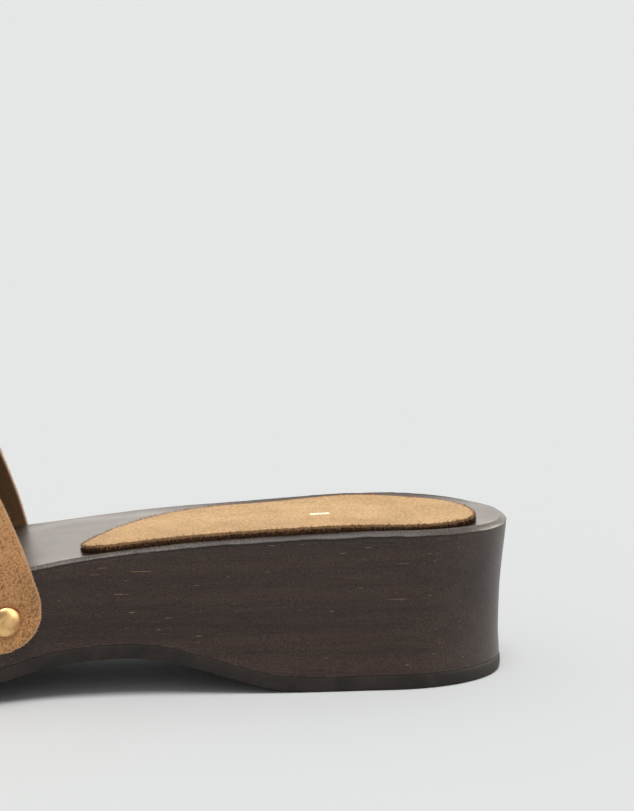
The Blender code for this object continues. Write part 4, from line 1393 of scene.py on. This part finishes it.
class Board:
    """One material under construction: its graph, its shader and its object coordinates."""

    def __init__(self, name: str, **values: object) -> None:
        """Starts a material.

        Args:
            name: The material's name.
            **values: The shader's plain values, by input name with _ for spaces.
        """
        self.material = bpy.data.materials.new(name)
        self.material.use_nodes = True
        self.graph = Graph(self.material.node_tree)
        self.shader = self.material.node_tree.nodes["Principled BSDF"]
        for key, value in values.items():
            self.shader.inputs[key.replace("_", " ")].default_value = rgba(value)
        self.place = self.graph.add("ShaderNodeTexCoord", out="Object")

    def effect(self, group: bpy.types.NodeTree, **inputs: object) -> bpy.types.bpy_prop_collection:
        """Places a shared effect and gives its outputs."""
        node = self.graph.node("ShaderNodeGroup", node_tree=group)
        self.graph.tree.links.new(self.place, node.inputs["Vector"])
        for key, value in inputs.items():
            node.inputs[key].default_value = value
        return node.outputs

    def attribute(self, name: str) -> object:
        """Reads a value that the mesh carries."""
        return self.graph.add("ShaderNodeAttribute", out="Fac", attribute_name=name)

    def feed(self, key: str, value: object) -> None:
        """Joins a changing value to one of the shader's inputs."""
        self.graph.tree.links.new(value, self.shader.inputs[key])

    def bump(self, height: object, distance: float, strength: float = 1.0, under: object = None) -> object:
        """Adds a bump of a real height, over another one where given, and gives its normal."""
        inputs = {"Height": height, "Distance": distance, "Strength": strength}
        if under is not None:
            inputs["Normal"] = under
        return self.graph.add("ShaderNodeBump", inputs)


# ---- Finishes ----
@dataclass(frozen=True)
class StainedWood:
    """Dark stained wood under a thin semi-gloss lacquer, with fine fibres and open pores."""

    dark: Colour = (0.024, 0.0120, 0.0085)
    light: Colour = (0.046, 0.0240, 0.0165)
    deep: Colour = (0.008, 0.005, 0.004)
    pore: Colour = (0.34, 0.20, 0.11)
    # Colour of the sanded edge: rubbed wood and a painted highlight on the chamfer.
    rubbed_and_painted_light: Colour = (0.135, 0.104, 0.085)

    def make(self, effects: Effects) -> bpy.types.Material:
        """Makes the material."""
        b = Board("stained_wood", IOR=1.36, Coat_Roughness=0.30, Coat_IOR=1.36)
        g = b.graph
        grain = b.effect(effects.grain, Fibre=0.00035, Stretch=0.025)
        smudge = b.effect(effects.smudge, Size=0.016)
        long_pores = b.effect(effects.pores, Spacing=0.0012, Stretch=0.026, Width=0.095, Share=0.70)["Mask"]
        short_pores = b.effect(effects.pores, Spacing=0.0012, Stretch=0.12, Width=0.115, Share=0.50)["Mask"]
        dark_pores = b.effect(effects.pores, Spacing=0.0009, Stretch=0.16, Width=0.20, Share=0.80)["Mask"]
        pores = g.math("MAXIMUM", long_pores, short_pores)
        speckle = g.ramp(g.noise(b.place, 2300.0, 1.0), 0.36, 0.64)
        tone = g.blend(grain["Tone"], grain["Bands"], 0.65)
        colour = g.mix(g.ramp(tone, 0.42, 0.58), self.dark, self.light)
        colour = g.mix(g.times(dark_pores, 0.75), colour, self.deep)
        colour = g.mix(g.times(pores, 0.62), colour, self.pore)
        colour = g.mix(1.0, colour, g.mix(speckle, (0.58, 0.58, 0.58), (1.46, 1.46, 1.46)), "MULTIPLY")
        # The sanded edge turns towards a lighter grey-brown, partly rubbed wood and partly a painted
        # highlight, broken up by grain and speckle.
        wear = b.attribute("edge_wear")
        scraped_rubbing_and_highlight = g.times(g.ramp(grain["Tone"], 0.40, 0.56, 0.35, 1.0), g.ramp(speckle, 0.2, 0.8, 0.15, 1.5))
        colour = g.mix(g.times(wear, scraped_rubbing_and_highlight, clamp=True), colour, self.rubbed_and_painted_light)
        # Painted shade: where the edge value is below 0 the wood turns deep brown, standing in for the shadow
        # in the crease under the sanded edge.
        colour = g.mix(g.times(wear, -0.8, clamp=True), colour, self.deep)
        b.feed("Base Color", colour)
        b.feed("Roughness", g.ramp(g.plus(smudge["Mask"], grain["Tone"]), 0.4, 1.6, 0.40, 0.46))
        b.feed("Coat Weight", g.ramp(smudge["Mask"], 0.0, 1.0, 0.38, 0.33))
        fibres = b.bump(grain["Tone"], 0.05 * MM, 0.55)
        b.feed("Normal", b.bump(pores, 0.05 * MM, -0.5, fibres))
        return b.material


@dataclass(frozen=True)
class Rubber:
    """Near-black moulded rubber with a fine dull skin."""

    dark: Colour = (0.020, 0.0150, 0.0125)
    light: Colour = (0.038, 0.0290, 0.0245)

    def make(self, effects: Effects) -> bpy.types.Material:
        """Makes the material."""
        b = Board("outsole_rubber", Specular_IOR_Level=0.22)
        smudge = b.effect(effects.smudge, Size=0.009)
        b.feed("Base Color", b.graph.mix(smudge["Mask"], self.dark, self.light))
        b.feed("Roughness", b.graph.ramp(smudge["Mask"], 0.0, 1.0, 0.52, 0.66))
        b.feed("Normal", b.bump(smudge["Height"], 0.06 * MM, 0.6))
        return b.material


@dataclass(frozen=True)
class Suede:
    """Suede with a nap of light and dark tufts.

    Attributes:
        name: The material's name.
        dark: Colour between the tufts.
        light: Colour of the tufts' tips.
        speck: Colour of the odd dark fibre.
        edge: Colour along a cut edge.
        tuft: Size of a tuft.
        relief: Height of the nap.
        specks: How much the dark fibres show.
        softness: How gently dark turns to light; smaller is coarser looking.
    """

    name: str
    dark: Colour
    light: Colour
    speck: Colour
    edge: Colour
    tuft: float
    relief: float
    specks: float
    softness: float

    def make(self, effects: Effects) -> bpy.types.Material:
        """Makes the material."""
        b = Board(
            self.name, Roughness=0.95, Specular_IOR_Level=0.12, Sheen_Weight=0.35, Sheen_Roughness=0.45,
            Sheen_Tint=(1.0, 0.86, 0.70),
        )
        g = b.graph
        nap = b.effect(effects.nap, Tuft=self.tuft, Patch=0.018)
        colour = g.mix(g.ramp(nap["Tone"], 0.5 - self.softness, 0.5 + self.softness), self.dark, self.light)
        colour = g.mix(g.times(nap["Specks"], self.specks), colour, self.speck)
        # Along a cut edge the colour turns to the edge colour; the upper suede's lighter tan there is a
        # painted highlight on its lit cut edge.
        b.feed("Base Color", g.mix(g.times(b.attribute("cut_edge"), 0.75), colour, self.edge))
        b.feed("Normal", b.bump(nap["Height"], self.relief, 0.9))
        return b.material


@dataclass(frozen=True)
class FibreBoard:
    """Pressed brown fibre board, dark at its raw edge."""

    dark: Colour = (0.024, 0.011, 0.006)
    light: Colour = (0.17, 0.085, 0.042)

    def make(self, effects: Effects) -> bpy.types.Material:
        """Makes the material."""
        b = Board("sock_board", Roughness=0.95, Specular_IOR_Level=0.15)
        nap = b.effect(effects.nap, Tuft=0.00055, Patch=0.006)
        b.feed("Base Color", b.graph.mix(b.graph.ramp(nap["Tone"], 0.42, 0.62), self.dark, self.light))
        b.feed("Normal", b.bump(nap["Height"], 0.3 * MM, 1.0))
        return b.material


@dataclass(frozen=True)
class LiningLeather:
    """Smooth brown lining leather with a painted edge."""

    dark: Colour = (0.13, 0.066, 0.026)
    light: Colour = (0.23, 0.128, 0.056)
    edge: Colour = (0.42, 0.22, 0.14)

    def make(self, effects: Effects) -> bpy.types.Material:
        """Makes the material."""
        b = Board("lining_leather", Specular_IOR_Level=0.4)
        g = b.graph
        nap = b.effect(effects.nap, Tuft=0.0012, Patch=0.03)
        smudge = b.effect(effects.smudge, Size=0.02)
        colour = g.mix(g.ramp(nap["Tone"], 0.35, 0.65), self.dark, self.light)
        b.feed("Base Color", g.mix(g.ramp(b.attribute("cut_edge"), 0.55, 0.95), colour, self.edge))
        b.feed("Roughness", g.ramp(smudge["Mask"], 0.0, 1.0, 0.42, 0.60))
        b.feed("Normal", b.bump(nap["Height"], 0.08 * MM, 0.6))
        return b.material


@dataclass(frozen=True)
class StiffCloth:
    """The toe puff's stiffened cloth, which stays hidden."""

    dark: Colour = (0.40, 0.36, 0.30)
    light: Colour = (0.60, 0.55, 0.47)

    def make(self, effects: Effects) -> bpy.types.Material:
        """Makes the material."""
        b = Board("puff_board", Roughness=0.85)
        nap = b.effect(effects.nap, Tuft=0.0010, Patch=0.02)
        b.feed("Base Color", b.graph.mix(nap["Tone"], self.dark, self.light))
        b.feed("Normal", b.bump(nap["Height"], 0.08 * MM))
        return b.material


@dataclass(frozen=True)
class AgedBrass:
    """Matte brass, smudged and a little scratched, or the sock's foil.

    Attributes:
        name: The material's name.
        bright: Colour of the clean metal.
        dull: Colour of the aged metal.
        smooth: Roughness of the clean metal.
        rough: Roughness of the aged metal.
    """

    name: str = "stud_brass"
    bright: Colour = (0.90, 0.57, 0.26)
    dull: Colour = (0.50, 0.29, 0.12)
    smooth: float = 0.27
    rough: float = 0.42

    def make(self, effects: Effects) -> bpy.types.Material:
        """Makes the material."""
        b = Board(self.name, Metallic=1.0)
        g = b.graph
        smudge = b.effect(effects.smudge, Size=0.004)
        colour = g.mix(smudge["Mask"], self.bright, self.dull)
        b.feed("Base Color", g.mix(g.times(smudge["Scratches"], 0.3), colour, self.bright))
        b.feed("Roughness", g.ramp(smudge["Mask"], 0.0, 1.0, self.smooth, self.rough))
        b.feed("Normal", b.bump(smudge["Height"], 0.03 * MM, 0.35))
        return b.material


# ---- Studio ----
@dataclass(frozen=True)
class Lamp:
    """A broad distant softbox.

    Attributes:
        name: The lamp's name.
        strength: Its light on a surface that faces it, in watts per square metre.
        azimuth: Where it stands, in degrees from +X towards +Y.
        elevation: Its height in degrees.
        spread: Its apparent size in degrees.
        colour: Its colour.
        only_gloss: Whether it shows in reflections only.
    """

    name: str
    strength: float
    azimuth: float
    elevation: float
    spread: float
    colour: Colour
    only_gloss: bool = False

    def light(self) -> None:
        """Adds the lamp."""
        data = bpy.data.lights.new(self.name, "SUN")
        data.energy, data.angle, data.color = self.strength, math.radians(self.spread), self.colour
        lamp = linked(self.name, data)
        lamp.visible_diffuse = not self.only_gloss
        a, e = math.radians(self.azimuth), math.radians(self.elevation)
        from_lamp = -Vector((math.cos(a) * math.cos(e), math.sin(a) * math.cos(e), math.sin(e)))
        lamp.rotation_euler = from_lamp.to_track_quat("-Z", "Y").to_euler()


@dataclass
class Studio:
    """The floor, the lamps and the camera.

    Attributes:
        form: Gives the camera's place from the heel.
        camera_place: (s, y, z) of the camera.
        yaw: How far it turns from +Y towards +X, in radians.
        pitch: How far it looks up, in radians.
        lens: Its focal length in millimetres on a 36 mm sensor.
        floor_size: Width of the floor.
        floor_colour: Colour of the floor.
        fill: Colour and strength of the light from all round.
    """

    form: ClogForm
    camera_place: tuple[float, float, float] = (0.16218, -0.87128, 0.23004)
    yaw: float = 0.11862
    pitch: float = -0.16711
    lens: float = 130.07
    floor_size: float = 40.0
    floor_colour: Colour = (0.847, 0.863, 0.861)
    fill: tuple[Colour, float] = ((0.985, 1.0, 0.998), 0.42)
    lamps: tuple[Lamp, ...] = (
        Lamp("overhead_softbox", 1.68, -70, 72, 34, (1.0, 0.995, 0.985)),
        Lamp("back_softbox", 0.93, 83, 22, 55, (1.0, 0.93, 0.84), True),
        Lamp("high_back_softbox", 1.20, 83, 54, 60, (1.0, 0.95, 0.88), True),
        Lamp("rim_softbox", 1.90, 28, 20, 30, (1.0, 0.90, 0.78), True),
        Lamp("side_softbox", 2.00, -14, 26, 70, (1.0, 0.95, 0.88), True),
    )

    def build(self) -> None:
        """Makes the floor, the lamps, the fill light and the camera."""
        half = self.floor_size / 2
        points = np.array([(-half, -half, 0), (half, -half, 0), (half, half, 0), (-half, half, 0)])
        floor = mesh_object("floor", points, [(0, 1, 2, 3)])
        paper = Board("pale_floor", Base_Color=self.floor_colour, Roughness=1.0, Specular_IOR_Level=0.0)
        floor.data.materials.append(paper.material)
        for lamp in self.lamps:
            lamp.light()
        world = bpy.data.worlds.new("soft_fill")
        world.use_nodes = True
        background = world.node_tree.nodes["Background"]
        background.inputs["Color"].default_value = rgba(self.fill[0])
        background.inputs["Strength"].default_value = self.fill[1]
        bpy.context.scene.world = world
        bpy.context.scene.view_settings.view_transform = "Standard"
        self.add_camera()

    def add_camera(self) -> None:
        """Stands the camera beside the inner side of the heel."""
        data = bpy.data.cameras.new("camera")
        data.lens, data.sensor_width, data.clip_end = self.lens, 36.0, 100.0
        camera = linked("camera", data)
        level = math.cos(self.pitch)
        ahead = Vector((math.sin(self.yaw) * level, math.cos(self.yaw) * level, math.sin(self.pitch)))
        turn = ahead.to_track_quat("-Z", "Y").to_matrix().to_4x4()
        place = self.form.place(np.array([self.camera_place]))[0]
        camera.matrix_world = Matrix.Translation(Vector(place)) @ turn
        bpy.context.scene.camera = camera


def make_finishes(effects: Effects) -> dict[Slot, bpy.types.Material]:
    """Makes one material for each slot.

    Args:
        effects: The shared node groups.

    Returns:
        The materials by slot.
    """
    # The upper's edge colour, lighter than its tufts, is a painted highlight along its lit cut edge.
    upper = Suede(
        "upper_suede", (0.28, 0.130, 0.048), (0.64, 0.330, 0.145), (0.15, 0.064, 0.026), (0.70, 0.43, 0.24),
        0.00080, 0.26 * MM, 0.06, 0.038,
    )
    sock = Suede(
        "sock_suede", (0.62, 0.350, 0.155), (0.97, 0.620, 0.300), (0.27, 0.115, 0.042), (0.20, 0.10, 0.045),
        0.00085, 0.16 * MM, 0.75, 0.050,
    )
    return {
        Slot.WOOD: StainedWood().make(effects),
        Slot.OUTSOLE: Rubber().make(effects),
        Slot.BOARD: FibreBoard().make(effects),
        Slot.SOCK: sock.make(effects),
        Slot.SUEDE: upper.make(effects),
        Slot.LINING: LiningLeather().make(effects),
        Slot.PUFF: StiffCloth().make(effects),
        Slot.BRASS: AgedBrass().make(effects),
    }


def main() -> None:
    """Builds every piece and the studio."""
    logging.basicConfig(level=logging.INFO, format="%(name)s: %(message)s")
    form = ClogForm()
    effects = Effects()
    finishes = make_finishes(effects)
    foil = AgedBrass("pale_foil", (0.98, 0.83, 0.50), (0.92, 0.74, 0.42), 0.30, 0.40).make(effects)
    WoodenSole(form).build(finishes[Slot.WOOD])
    Outsole(form).build(finishes[Slot.OUTSOLE])
    HeelSock(form).build(finishes[Slot.BOARD], finishes[Slot.SOCK], foil)
    studs = Studs(form)
    Upper(form).build(studs, finishes)
    studs.build(finishes[Slot.BRASS])
    Studio(form).build()


if __name__ == "__main__":
    main()
